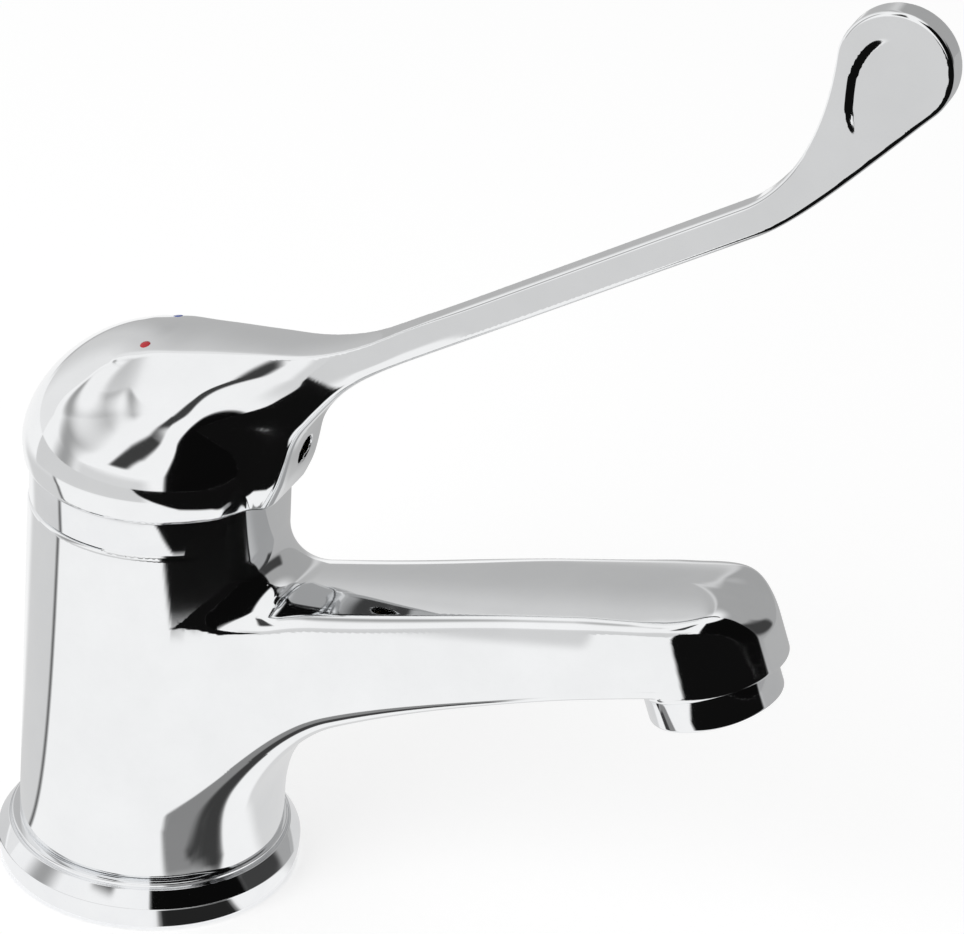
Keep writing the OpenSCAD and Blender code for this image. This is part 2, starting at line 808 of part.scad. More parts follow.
module aerator_screen() {
  cell_r = 0.6;
  pitch = 2.2;
  rows = 3;
  color("gray")
    at_outlet()
      difference() {
        hole(0, 0, insert_top, insert_r - fit_gap, screen_h);
        for (k = [1:rows], i = [0:6 * k - 1])
          rotate([0, 0, 60 * i / k])
            hole(k * pitch, 0, insert_top - past, cell_r, screen_h + 2 * past);
      }
}

module aerator_washer() {
  overhang = 1.5;
  color("black")
    at_outlet()
      tube(aerator_thread_r, insert_r - overhang, aerator_h + aerator_thread_l, washer_h);
}

base_ring();
base_gasket();
tap_body();
collar();
clamp_nut();
cartridge_housing();
cartridge_base();
housing_seal();
inlet_seals();
disc_gasket();
fixed_disc();
moving_disc();
disc_coupler();
rotor();
pivot_pin();
stem();
lever_handle();
grub_screw();
hot_mark();
cold_mark();
aerator_housing();
aerator_insert();
aerator_screen();
aerator_washer();
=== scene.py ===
import math

import bpy
import numpy as np
from mathutils import Euler, Matrix, Vector


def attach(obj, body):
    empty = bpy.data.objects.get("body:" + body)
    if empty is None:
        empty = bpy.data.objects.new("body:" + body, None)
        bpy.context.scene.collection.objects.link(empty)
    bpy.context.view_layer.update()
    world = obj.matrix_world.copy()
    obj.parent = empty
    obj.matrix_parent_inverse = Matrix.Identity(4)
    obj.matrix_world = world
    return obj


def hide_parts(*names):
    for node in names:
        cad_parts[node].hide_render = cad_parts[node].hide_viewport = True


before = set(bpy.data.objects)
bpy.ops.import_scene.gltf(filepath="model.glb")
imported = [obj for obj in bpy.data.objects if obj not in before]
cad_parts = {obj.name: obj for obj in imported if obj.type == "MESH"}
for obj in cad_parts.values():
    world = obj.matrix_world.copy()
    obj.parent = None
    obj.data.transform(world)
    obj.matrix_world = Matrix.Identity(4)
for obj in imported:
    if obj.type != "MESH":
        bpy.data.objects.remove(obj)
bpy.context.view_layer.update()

# Elbow lever tap in polished chrome, in a white studio.
# Sizes are in millimetres, as in the part's source, and turn to metres where a mesh is made.
MM = 0.001
# Most triangles of a cast piece, and how near its normals stay to those of its mesh
MOST_TRIANGLES = 190000
SAME_WAY = 0.96
FINE_CELLS = (0.4, 0.38)
# How vertices settle on a form: rounds, step as a share of the cell, least slope, and reach of a slope
SETTLE_ROUNDS = 4
SETTLE_STEP = 0.6
LEAST_SLOPE = 0.05
SLOPE_REACH = 0.03

# Base ring
RING_R = 28.0
RING_WALL = 4.9
RING_H = 8.7
RING_BOTTOM = 0.4
RING_IN = 22.5
RIM_R = 25.5
GROOVE_W = 0.5
GROOVE_UP = 0.8
GROOVE_D = 0.3
GASKET_R = 27.0
GASKET_IN = 24.0
GASKET_H = 1.6

# Body
FOOT_R = 24.1
BODY_R = 23.4
BODY_TOP = 75.2
BODY_EDGE = 0.8
SPIGOT_R = 22.4
SPIGOT_Z = 2.7
SPIGOT_LAP = 1.0
HOLLOW_R = 20.5
WEB_Z = 28.0
FLOOR_Z = 42.0
CHAMBER_R = 17.6
COUNTER_R = 21.5
COUNTER_Z = 71.6
INLET_AT = ((-6.5, -6.5), (-6.5, 6.5))
INLET_R = 4.5
STUD_AT = (10.0, 0.0)
STUD_R = 3.4
SOCKET_TOP = 38.0
# How far a cutter runs past the surface, and a port's past the web
PAST = 5.0
PORT_PAST = 3.0
# How far raw brass reaches past the collar's seat, and stays under the ring's top
RAW_PAST = 0.3
RAW_UNDER = 0.1
# Box that holds the body's form
BODY_LOW = (-24.2, -24.2, SPIGOT_Z)
BODY_HIGH = (121.0, 24.2, 87.5)

# Spout
SPOUT_W = 13.4
VALLEY_X = 30.9
VALLEY_Z = 66.8
SPOUT_SLOPE = 0.2535
SPOUT_DEEP = 17.0
ROOT_DEEP = 15.0
DEEP_FROM = 23.4
DEEP_TO = 102.4
DEEP_TAPER = 2.2
WING_R = 45.0
COVE_TOP = 8.0
COVE_LOW = 18.0
SHOULDER_R = 1.6
BELLY_R = 2.2
ROOT_BELLY = 4.0
ROOT_FLOW = 3.0
BELLY_LEVEL = 0.95
TOP_CROWN = 2.3
ROOT_CROWN = 1.5
CROWN_SHAPE = 2.2
SIDE_BULGE = 0.4
SIDE_LEAN = 0.08
ROOT_SHOULDER = 0.8
LEAST_FLOW = 0.01
FLOW_UNDER = 0.45
FLOW_DEPTH = 12.0
WING_FADE = 22.0
PAST_END = 1.2
# Where along x, or along the outlet's own cross direction, a form of the spout fades
CROWN_FADE = (36, 74)
BELLY_FADE = (26, 76)
FLARE_END = (-16, -2)
FLOW_FROM = (-4, 10)

# Outlet
OUTLET_X = 106.5
OUTLET_Z = 62.4
OUTLET_TILT = math.radians(21)
NOSE_R = 13.4
NOSE_SEAM = 6.0
NOSE_CAP = 13.0
NOSE_TOP = 23.0
NOSE_FALL = 0.119
NOSE_EDGE = 1.2
NOSE_FRONT = 14.8
NOSE_TIP = 2.1
NOSE_FLANK = 13.0
NOSE_BLEND = 6.0
LEAST_ROOF = 2.0
SEAM_LAP = 0.2
SEAM_CLEAR = 60.0
SEAM_FROM = (44, 60)
BORE_R = 11.1
BORE_TOP = 14.5
AERATOR_R = 12.0
MOUTH_R = 8.3
MOUTH_UP = 1.2
THREAD_R = 11.0
THREAD_IN = 9.5
THREAD_TOP = 13.0

# Core of the aerator
CORE_CELL = 2.0
CORE_WALL = 0.3
CORE_DEEP = 6.0
CORE_MID = 4.4
CORE_REACH = 8.6
CORE_RIM = 9.2
CORE_ROWS = 11
CORE_STEPS = 96

# Threads of inlets and stud hole
INLET_PITCH = 1.0
INLET_TURNS = 9
STUD_PITCH = 1.25
STUD_TURNS = 7
THREAD_STEPS = 48
THREAD_TOOTH = 0.42

# Marks: the rings of a mark's face are shares of its radius with their heights
MARK_R = 0.95
MARK_DEEP = 0.35
MARK_CROWN = 0.11
MARK_RINGS = ((0.4, 0.1), (0.75, 0.07), (1.0, 0.0), (1.0, -MARK_DEEP))
MARK_X = -0.8
MARK_Y = 6.1
COLD_Y = 7.2

# Collar
COLLAR_R = 23.2
COLLAR_IN = 20.4
COLLAR_SPIGOT = 21.4
COLLAR_SEAT = 22.2
COLLAR_LOW = 71.8
COLLAR_LEAD = 1.0
COLLAR_TOP = 82.0
COLLAR_GAP = 0.3

# Lever
LIP_Z = 82.1
DOME_R = 24.6
CROWN_BASE = 85.5
CROWN_H = 22.9
CROWN_POWER = 1.87
CROWN_BULGE = 1.66
LIP_R = 23.45
BOSS_R = 8.0
BOSS_Z = 86.2
SOCKET = 4.1
HOLLOW_TOP = 98.0
ROOM_BASE = CROWN_BASE - 1
ROOM_POWER = 2.2
SOCKET_UP = 1.5
GRUB_Z = 91.2
GRUB_R = 2.6
GRUB_FROM = 3.0
GRUB_EDGE = 0.3
ARM_ROOT = (46.0, 116.9)
ARM_ANGLE = math.radians(32.3)
ARM_HALF = 2.8
ARM_THIN = 2.7
ARM_END = (104.0, 153.57)
BEND = (115.55, 160.87)
PADDLE = (125.3, 185.0)
PADDLE_R = 9.7
PADDLE_GROWTH = 2.6
BAR_FROM = 46.0
BAR_FULL = 60.0
EDGE_R = 0.9
FACE_EDGE = 1.0
SCOOP = (126.0, 179.5)
SCOOP_W = 8.2
SCOOP_H = 12.2
SCOOP_STEP = 0.16
SCOOP_DEEP = 0.6
SCOOP_FOOT = (171, 178)
SCOOP_HEAD = (185, 192)
BLADE_STEPS = 41
LIP_CURL = 0.7
CURL_FROM = 88.0
FLANK_HOLLOW = 1.2
LIP_EDGE = 0.8
REAR_INSET = 1.5
DISH_LEAN = math.radians(44.5)
DISH_BEND = 1 / 400
DISH_REAR = -3.8
DISH_MID = 7.3
DISH_ROUND = 0.065
DISH_RISE = 0.022
DISH_EDGE = 0.5
DISH_SOFT = 3.5
SOFT_FROM = (4, 12)
REAR_TOP = 104.0
REAR_TURN = 1.75
REAR_SINK = 0.12
SINK_FROM = -4.0
TOP_EDGE = 0.4
NECK_BLEND = 0.6
# Where along x or z a form of the lever fades
HOLLOW_FADE = (98, 112)
FACE_FADE = (100, 114)
TOP_FADE = (40, 60)
LEAN_FADE = (12, 46)
BEND_FADE = (8, 30)
# Box that holds the lever's form
LEVER_LOW = (-24.7, -24.7, LIP_Z)
LEVER_HIGH = (134.5, 24.7, 194.4)


def round_meet(a, b, radius):
    """What lies in both forms, with the edge between them rounded."""
    rounded = np.hypot(np.maximum(a + radius, 0), np.maximum(b + radius, 0))
    return np.minimum(np.maximum(a, b), -radius) + rounded


def round_join(a, b, radius):
    """What lies in either form, with the inner corner between them filled by a cove."""
    filled = np.hypot(np.maximum(radius - a, 0), np.maximum(radius - b, 0))
    return np.maximum(np.minimum(a, b), radius) - filled


def soft_join(a, b, reach):
    """What lies in either form, blended where they nearly touch."""
    near = np.maximum(reach - np.abs(a - b), 0) / reach
    return np.minimum(a, b) - near * near * reach / 4


def soft_meet(a, b, reach):
    """What lies in both forms, blended where they nearly touch."""
    return -soft_join(-a, -b, reach)


def ease(low, high, value):
    """0 at low, 1 at high, and smooth between."""
    share = np.clip((value - low) / (high - low), 0, 1)
    return share * share * (3 - 2 * share)


def bent_line(points):
    """A smooth curve through points, straight on past both ends. It gives value and slope."""
    xs, ys = (np.array(v, float) for v in zip(*points))
    step = np.diff(xs)
    rise = np.diff(ys) / step
    size = len(xs)
    rows = np.zeros((size, size))
    right = np.zeros(size)
    rows[0, 0] = rows[-1, -1] = 1
    for i in range(1, size - 1):
        rows[i, i - 1:i + 2] = step[i - 1], 2 * (step[i - 1] + step[i]), step[i]
        right[i] = 6 * (rise[i] - rise[i - 1])
    bend = np.linalg.solve(rows, right)
    first = rise[0] - step[0] * bend[1] / 6
    last = rise[-1] + step[-1] * bend[-2] / 6

    def curve(x):
        """Value and slope at x."""
        held = np.clip(x, xs[0], xs[-1])
        i = np.clip(np.searchsorted(xs, held) - 1, 0, size - 2)
        h = step[i]
        a = (xs[i + 1] - held) / h
        b = 1 - a
        value = a * ys[i] + b * ys[i + 1]
        value = value + ((a ** 3 - a) * bend[i] + (b ** 3 - b) * bend[i + 1]) * h * h / 6
        slope = rise[i] + ((3 * b * b - 1) * bend[i + 1] - (3 * a * a - 1) * bend[i]) * h / 6
        value = value + np.where(x < xs[0], (x - xs[0]) * first, 0)
        value = value + np.where(x > xs[-1], (x - xs[-1]) * last, 0)
        return value, slope

    return curve


def slope(form, points):
    """How form changes at points along x, y and z."""
    grad = np.empty_like(points)
    for axis in range(3):
        step = SLOPE_REACH * np.eye(3)[axis]
        grad[:, axis] = (form(*(points + step).T) - form(*(points - step).T)) / (2 * SLOPE_REACH)
    return grad


def skin(form, low, high, cell):
    """Vertices and faces of the surface where form is zero, in millimetres."""
    # The grid stands a cell or two past the box, so that the skin closes
    axes = [np.arange(a - 1.5 * cell, b + 2 * cell, cell) for a, b in zip(low, high)]
    shape = tuple(len(a) for a in axes)
    field = np.empty(shape, np.float32)
    ys, zs = np.meshgrid(axes[1], axes[2], indexing="ij")
    for i, x in enumerate(axes[0]):
        field[i] = form(np.full_like(ys, x), ys, zs)
    inside = field < 0
    count = np.zeros(tuple(n - 1 for n in shape), np.int8)
    corners = [(i, j, k) for i in (0, 1) for j in (0, 1) for k in (0, 1)]
    for i, j, k in corners:
        count += inside[i:shape[0] - 1 + i, j:shape[1] - 1 + j, k:shape[2] - 1 + k]
    at = np.argwhere((count > 0) & (count < 8))
    number = np.full(count.shape, -1, np.int64)
    number[tuple(at.T)] = np.arange(len(at))
    # One vertex in each cell that the surface crosses, at the middle of its crossings
    total = np.zeros((len(at), 3))
    hits = np.zeros(len(at))
    for axis in range(3):
        along = np.eye(3, dtype=int)[axis]
        for corner in corners:
            if corner[axis]:
                continue
            start = at + corner
            f0 = field[tuple(start.T)].astype(float)
            f1 = field[tuple((start + along).T)].astype(float)
            cross = (f0 < 0) != (f1 < 0)
            share = np.where(cross, f0 / np.where(cross, f0 - f1, 1), 0)
            total += cross[:, None] * (np.array(corner) + share[:, None] * along)
            hits += cross
    verts = at + total / hits[:, None]
    verts = verts * cell + np.array([a[0] for a in axes])
    # One face for each grid edge that the surface crosses, turned outwards
    faces = []
    for axis in range(3):
        b, c = (axis + 1) % 3, (axis + 2) % 3
        along = np.eye(3, dtype=int)[axis]
        first, second = (tuple(slice(start, n - 1 + start) if k == axis else slice(1, n - 1)
                               for k, n in enumerate(shape)) for start in (0, 1))
        edge = np.argwhere(inside[first] != inside[second])
        out = inside[first][tuple(edge.T)]
        edge = edge + (1 - along)
        ring = []
        for db, dc in ((-1, -1), (0, -1), (0, 0), (-1, 0)):
            cell_at = edge.copy()
            cell_at[:, b] += db
            cell_at[:, c] += dc
            ring.append(number[tuple(cell_at.T)])
        quad = np.stack(ring, 1)
        quad[~out] = quad[~out][:, ::-1]
        faces.append(quad)
    faces = np.concatenate(faces)

    # Vertices settle on the form along its slope
    for _ in range(SETTLE_ROUNDS):
        grad = slope(form, verts)
        push = form(*verts.T) / np.maximum((grad ** 2).sum(1), LEAST_SLOPE)
        move = grad * push[:, None]
        length = np.linalg.norm(move, axis=1)
        move *= np.minimum(1, SETTLE_STEP * cell / np.maximum(length, 1e-9))[:, None]
        verts = verts - move
    return verts, faces


def outlet_frame(x, z):
    """Across and along the outlet's tilted axis."""
    dx, dz = x - OUTLET_X, z - OUTLET_Z
    across = dx * math.cos(OUTLET_TILT) + dz * math.sin(OUTLET_TILT)
    along = dz * math.cos(OUTLET_TILT) - dx * math.sin(OUTLET_TILT)
    return across, along


def drilled(solid, x, y, z, place, radius, low, high):
    """solid with an upright round hole taken out."""
    hole = np.hypot(x - place[0], y - place[1]) - radius
    return np.maximum(solid, -np.maximum(hole, np.abs(z - (low + high) / 2) - (high - low) / 2))


def body_form(x, y, z):
    """Cast body and spout: turned body, wings that run into the beam, and the rounded nose."""
    r = np.hypot(x, y)
    size = FOOT_R + (BODY_R - FOOT_R) * (z - RING_H) / (BODY_TOP - RING_H)
    wall = r - size
    middle = (RING_H + BODY_TOP) / 2
    body = round_meet(wall, np.abs(z - middle) - (BODY_TOP - RING_H) / 2, BODY_EDGE)
    spigot_top = RING_H + SPIGOT_LAP
    spigot = np.maximum(r - SPIGOT_R, np.abs(z - (SPIGOT_Z + spigot_top) / 2) - (spigot_top - SPIGOT_Z) / 2)
    body = np.minimum(body, spigot)

    # Beam: crowned top, wings that leave the body in a curve, a soft lower edge
    across, along = outlet_frame(x, z)
    side = np.abs(y)
    line = VALLEY_Z + (x - VALLEY_X) * SPOUT_SLOPE
    share = np.clip((DEEP_TO - x) / (DEEP_TO - DEEP_FROM), 0, PAST_END)
    deep = SPOUT_DEEP + ROOT_DEEP * share ** DEEP_TAPER
    root = 1 - ease(*CROWN_FADE, x)
    crown = (TOP_CROWN + ROOT_CROWN * root) * np.minimum(side / SPOUT_W, PAST_END) ** CROWN_SHAPE
    top = (z - line + crown) * math.cos(math.atan(SPOUT_SLOPE))
    wing_x = np.sqrt((size + WING_R) ** 2 - (SPOUT_W + WING_R) ** 2)
    leaves = wing_x * size / (size + WING_R)
    wing = WING_R - np.hypot(x - wing_x, side - SPOUT_W - WING_R)
    free = ease(0, WING_FADE, x - leaves)
    flare = free * (1 - ease(*FLARE_END, across))
    bulge = SIDE_BULGE * (np.clip((line - z) / deep, 0, 1) * 2 - 1) ** 2 * flare
    lean = SIDE_LEAN * (z - line + deep / 2) * flare
    plan = np.where(x < wing_x, wing, side - SPOUT_W) + bulge + lean
    plan = np.where(x < leaves, wall, plan)
    low = (line - deep - z) * BELLY_LEVEL
    high_cove = round_join(top, wall, COVE_TOP)
    low_cove = round_join(low, wall, COVE_LOW)
    upper = round_meet(high_cove, plan, ROOT_SHOULDER + (SHOULDER_R - ROOT_SHOULDER) * free)
    beam = round_meet(upper, low_cove, BELLY_R + ROOT_BELLY * (1 - ease(*BELLY_FADE, x)))
    seam = NOSE_SEAM - along - SEAM_CLEAR * (1 - ease(*SEAM_FROM, x))
    beam = np.maximum(beam, np.maximum(seam + SEAM_LAP, -x))

    # Nose: runs on from the beam with square shoulders, and is round at its tip
    reach = np.maximum(across, 0)
    out = np.hypot(reach * NOSE_R / NOSE_FRONT, y) / NOSE_R
    flank = np.abs(np.sin(np.arctan2(y, reach + 1e-6)))
    power = NOSE_TIP + NOSE_FLANK * flank ** 3
    roof = NOSE_TOP - NOSE_CAP - NOSE_FALL * np.maximum(across, -NOSE_BLEND) - crown
    up = np.maximum(along - NOSE_CAP, 0) / np.maximum(roof, LEAST_ROOF)
    front_nose = NOSE_R * ((out ** power + up ** power) ** (1 / power) - 1)
    rim = np.maximum(np.hypot(across, y) - NOSE_R, along - NOSE_CAP)
    behind = np.minimum(beam, rim)
    spout = behind + (front_nose - behind) * ease(-NOSE_BLEND, 0, across)
    spout = round_meet(spout, seam, NOSE_EDGE)
    under = ease(0, FLOW_DEPTH, line - deep * FLOW_UNDER - z) * ease(*FLOW_FROM, x - leaves)
    solid = soft_join(body, spout, LEAST_FLOW + ROOT_FLOW * under)

    # Hollow foot, chamber, seat of the collar, inlets, stud hole and the outlet's bore
    solid = drilled(solid, x, y, z, (0, 0), HOLLOW_R, SPIGOT_Z - PAST, WEB_Z)
    solid = drilled(solid, x, y, z, (0, 0), CHAMBER_R, FLOOR_Z, BODY_TOP + PAST)
    solid = drilled(solid, x, y, z, (0, 0), COUNTER_R, COUNTER_Z, BODY_TOP + PAST)
    for place in INLET_AT:
        solid = drilled(solid, x, y, z, place, INLET_R, WEB_Z - PORT_PAST, SOCKET_TOP)
    solid = drilled(solid, x, y, z, STUD_AT, STUD_R, WEB_Z - PORT_PAST, SOCKET_TOP)
    bore = np.maximum(np.hypot(across, y) - BORE_R, along - BORE_TOP)
    return np.maximum(solid, -bore)


# Rise of the arm, and where its upper and lower edges start
LEAN = math.tan(ARM_ANGLE)
TOP_AT = (ARM_ROOT[0] - ARM_HALF * math.sin(ARM_ANGLE), ARM_ROOT[1] + ARM_HALF * math.cos(ARM_ANGLE))
LOW_AT = (ARM_ROOT[0] + ARM_HALF * math.sin(ARM_ANGLE), ARM_ROOT[1] - ARM_HALF * math.cos(ARM_ANGLE))
# Front edge of the lever in its mid plane, upwards from the lip to the underside of the arm
front = bent_line([(80, 25.0), (84.2, 26.0), (86.8, 26.7), (89.4, 27.3), (91.9, 27.8), (94.3, 28.3),
                   (96.9, 29.3), (99.8, 31.1), (102.5, 33.0), (105.1, 35.0), (108.1, 38.0), (111.4, 42.5)]
                  + [(LOW_AT[1] + d, LOW_AT[0] + d / LEAN) for d in (0, 5, 10)])
# Half width of the front face at each height
front_half = bent_line([(80, 8.4), (86, 8.2), (92, 7.7), (98, 6.8), (103, 5.6), (108.5, 4.0), (114, 3.1),
                        (120, ARM_THIN), (126, ARM_THIN)])
# Distance of the flank's plane from the axis at each height
flank_at = bent_line([(80, 24.6), (86, 24.6), (90, 23.7), (95.8, 21.6), (98, 21.0), (101, 20.8),
                      (103.4, 18.9), (107.3, 14.4), (111.4, 10.3), (113, 8.8), (118, 5.0), (124, 3.5)])
# Sharp upper edge of the dish, how far out and how high, and how much higher the top is in the middle
rim_side = bent_line([(-14, 9.3), (-6, 9.3), (-3, 9.0), (0.9, 8.3), (6.1, 7.5), (11.3, 6.8), (16.3, 6.25),
                      (22.1, 5.7), (27.6, 5.2), (34, 4.5), (42, 3.3), (50, ARM_THIN), (60, ARM_THIN)])
rim_up = bent_line([(-14, 105.0), (-6, 105.2), (-3, 106.0), (0.9, 107.3), (6.1, 108.25), (11.3, 109.15),
                    (16.3, 109.9), (22.1, 110.75), (27.6, 111.6), (34, 113.5), (40, 116.4)]
                   + [(TOP_AT[0] + d, TOP_AT[1] + d * LEAN) for d in (0, 8, 16)])
rim_crown = bent_line([(-14, 2.0), (-5, 1.8), (0.9, 1.05), (6, 0.85), (16, 0.7), (30, 0.4), (44, 0.0),
                       (60, 0.0)])


def dome_radius(z):
    """Radius of the dome at a height."""
    up = np.clip((z - CROWN_BASE) / CROWN_H, 0, 1)
    return DOME_R * (1 - up ** CROWN_POWER) ** (1 / CROWN_BULGE)


def blade(x, z):
    """Distance from the outline of arm and paddle in the lever's mid plane."""
    t = np.linspace(0, 1, BLADE_STEPS)
    path_x = (1 - t) ** 2 * ARM_END[0] + 2 * t * (1 - t) * BEND[0] + t * t * PADDLE[0]
    path_z = (1 - t) ** 2 * ARM_END[1] + 2 * t * (1 - t) * BEND[1] + t * t * PADDLE[1]
    path_r = ARM_HALF + (PADDLE_R - ARM_HALF) * t ** PADDLE_GROWTH
    gap = np.hypot(x[:, None] - path_x, z[:, None] - path_z) - path_r
    i = np.clip(gap.argmin(1), 1, len(t) - 2)
    rows = np.arange(len(i))
    a, b, c = gap[rows, i - 1], gap[rows, i], gap[rows, i + 1]
    curve = np.maximum(a - 2 * b + c, 1e-6)
    shift = np.clip((a - c) / (2 * curve), -1, 1)
    head = b + shift * (c - a) / 2 + shift * shift * curve / 2
    ahead = (x - ARM_END[0]) * math.cos(ARM_ANGLE) + (z - ARM_END[1]) * math.sin(ARM_ANGLE)
    off = (z - ARM_END[1]) * math.cos(ARM_ANGLE) - (x - ARM_END[0]) * math.sin(ARM_ANGLE)
    return np.where(ahead < 0, np.abs(off) - ARM_HALF, head)


def lever_form(x, y, z):
    """Dome with dished flanks, drawn out to a front face, and on into arm and paddle."""
    side = np.abs(y)
    curl = LIP_CURL * (np.maximum(CURL_FROM - z, 0) / (CURL_FROM - LIP_Z)) ** 2
    plain = np.hypot(x, y)
    r = plain + curl
    up = np.maximum(z - CROWN_BASE, 0) / CROWN_H
    dome = DOME_R * (((r / DOME_R) ** CROWN_BULGE + up ** CROWN_POWER) ** (1 / CROWN_BULGE) - 1)

    # Neck: at each height the dome's circle is drawn out to the front face by hollow flanks
    rim_s, _ = rim_side(x)
    rim_z, rim_slope = rim_up(x)
    crown, _ = rim_crown(x)
    sink = REAR_SINK * np.maximum(SINK_FROM - x, 0) ** 2
    top = (z - rim_z - crown * (1 - (side / rim_s) ** 2) + sink) / np.sqrt(1 + rim_slope ** 2)
    front_x, front_slope = front(z)
    face = (x - front_x + curl) / np.sqrt(1 + front_slope ** 2)
    half, _ = front_half(z)
    radius, _ = flank_at(z)
    far = np.hypot(front_x, half)
    angle = np.arctan2(half, front_x) + np.arccos(np.clip(radius / far, -1, 1))
    turn = np.arctan2(side, x)
    flank = x * np.cos(angle) + side * np.sin(angle) - radius + curl
    along = x * np.sin(angle) - side * np.cos(angle)
    length = np.sqrt(np.maximum(far * far - radius * radius, 1))
    hollow = np.sin(math.pi * np.clip(along / length, 0, 1)) ** 2
    flank = flank + FLANK_HOLLOW * hollow * (1 - ease(*HOLLOW_FADE, z))
    back = ease(REAR_TURN, angle, turn)
    behind = dome_radius(np.minimum(z, REAR_TOP)) - REAR_INSET
    hull = np.where(turn < angle, flank, r - radius * back - behind * (1 - back))
    neck = round_meet(hull, face, EDGE_R + FACE_EDGE * (1 - ease(*FACE_FADE, z)))
    neck = round_meet(neck, top, TOP_EDGE + (EDGE_R - TOP_EDGE) * ease(*TOP_FADE, x))
    solid = soft_join(dome, neck, NECK_BLEND)

    # Long dish in each flank: sharp along the top, soft along its lower edge
    lean = DISH_LEAN + (math.pi / 2 - DISH_LEAN) * ease(*LEAN_FADE, x)
    dish = (side - rim_s) * np.sin(lean) + (z - rim_z) * np.cos(lean)
    down = np.maximum((side - rim_s) * np.cos(lean) - (z - rim_z) * np.sin(lean), 0)
    dish = dish - down * down * DISH_BEND * (1 - ease(*BEND_FADE, x))
    rear = DISH_REAR + DISH_ROUND * (down - DISH_MID) ** 2
    dish = dish - DISH_RISE * np.maximum(rear - x, 0) ** 2
    solid = soft_meet(solid, dish, DISH_EDGE + DISH_SOFT * ease(*SOFT_FROM, down))
    solid = round_meet(solid, LIP_Z - z, LIP_EDGE)

    # Arm and paddle: one flat bar, with a scoop in each face of the paddle
    bar = x > BAR_FROM
    if bar.any():
        outline = blade(x[bar], z[bar])
        out = np.hypot((x[bar] - SCOOP[0]) / SCOOP_W, (z[bar] - SCOOP[1]) / SCOOP_H)
        fade = np.clip(0.5 - (x[bar] - SCOOP[0]) / (2 * SCOOP_W), 0, 1)
        fade = fade * ease(*SCOOP_FOOT, z[bar]) * (1 - ease(*SCOOP_HEAD, z[bar]))
        thick = side[bar] - ARM_THIN + SCOOP_DEEP * fade * (1 - ease(1 - SCOOP_STEP, 1, out))
        share = ease(BAR_FROM, BAR_FULL, x[bar])
        solid[bar] = solid[bar] * (1 - share) + round_meet(outline, thick, EDGE_R) * share

    # Hollow under the dome, boss with its square socket, and the screw's bore
    room_up = np.maximum(z - ROOM_BASE, 0) / (HOLLOW_TOP - ROOM_BASE)
    room = LIP_R * (((plain / LIP_R) ** ROOM_POWER + room_up ** ROOM_POWER) ** (1 / ROOM_POWER) - 1)
    boss = np.maximum(plain - BOSS_R, BOSS_Z - z)
    room = np.maximum(room, -boss)
    square = np.maximum(np.maximum(np.abs(x), side) - SOCKET, z - HOLLOW_TOP - SOCKET_UP)
    room = np.minimum(room, square)
    solid = np.maximum(solid, -room)
    grub = np.maximum(np.hypot(y, z - GRUB_Z) - GRUB_R, GRUB_FROM - x)
    return round_meet(solid, -grub, GRUB_EDGE)


def put(tree, kind, inputs=None, **settings):
    """Adds a node with its settings; an input is a value, or a socket to link from."""
    added = tree.nodes.new(kind)
    for key, value in settings.items():
        setattr(added, key, value)
    for key, value in (inputs or {}).items():
        if isinstance(value, bpy.types.NodeSocket):
            tree.links.new(value, added.inputs[key])
        else:
            added.inputs[key].default_value = value
    return added


def linear(code):
    """sRGB hex to the linear colour that a shader takes."""
    parts = [int(code[i:i + 2], 16) / 255 for i in (1, 3, 5)]
    return [c / 12.92 if c <= 0.04045 else ((c + 0.055) / 1.055) ** 2.4 for c in parts] + [1.0]


def finish(name, tones, rough, grain, bump=0.0, spread=0.5, **sockets):
    """A material whose colour and roughness wander over the surface.

    tones: two hex colours; rough: lowest and highest roughness; grain: size of the pattern in mm;
    bump: height of the pattern in mm.
    """
    made_of = bpy.data.materials.new(name)
    made_of.use_nodes = True
    tree = made_of.node_tree
    shader = tree.nodes["Principled BSDF"]
    place = put(tree, "ShaderNodeTexCoord")
    noise = put(tree, "ShaderNodeTexNoise", {"Vector": place.outputs["Object"], "Scale": 1 / (grain * MM),
                                             "Detail": 4.0, "Roughness": 0.6})
    shade = put(tree, "ShaderNodeValToRGB", {"Fac": noise.outputs["Fac"]})
    for point, at, tone in zip(shade.color_ramp.elements, (0.5 - spread / 2, 0.5 + spread / 2), tones):
        point.position = at
        point.color = linear(tone)
    dull = put(tree, "ShaderNodeMapRange", {"Value": noise.outputs["Fac"], "From Min": 0.3, "From Max": 0.7,
                                            "To Min": rough[0], "To Max": rough[1]})
    tree.links.new(shade.outputs["Color"], shader.inputs["Base Color"])
    tree.links.new(dull.outputs["Result"], shader.inputs["Roughness"])
    if bump:
        relief = put(tree, "ShaderNodeBump", {"Height": noise.outputs["Fac"], "Strength": 1.0,
                                              "Distance": bump * MM})
        tree.links.new(relief.outputs["Normal"], shader.inputs["Normal"])
    for key, value in sockets.items():
        shader.inputs[key.replace("_", " ")].default_value = value
    return made_of


# Polished chrome plate on cast brass: mirror bright, with a trace of wheel-polish waviness.
chrome = finish("polished_chrome_plate", ("#F1F2F3", "#F7F8F9"), (0.04, 0.065), 14, 0.004, Metallic=1.0)
# Chrome plate on turned rings: as bright, and a little crisper than on the castings.
chrome_turned = finish("turned_chrome_plate", ("#EFF0F2", "#F6F7F8"), (0.035, 0.06), 9, 0.002, Metallic=1.0)
# Raw cast brass inside the foot: dull yellow with the grain of the sand core.
brass_cast = finish("raw_cast_brass", ("#8F7440", "#B59A5C"), (0.42, 0.62), 1.6, 0.12, Metallic=1.0)
# Turned brass of nut and stem: clean yellow with faint tool marks.
brass = finish("turned_brass", ("#C2A25A", "#D6BA74"), (0.22, 0.34), 0.9, 0.02, Metallic=1.0)
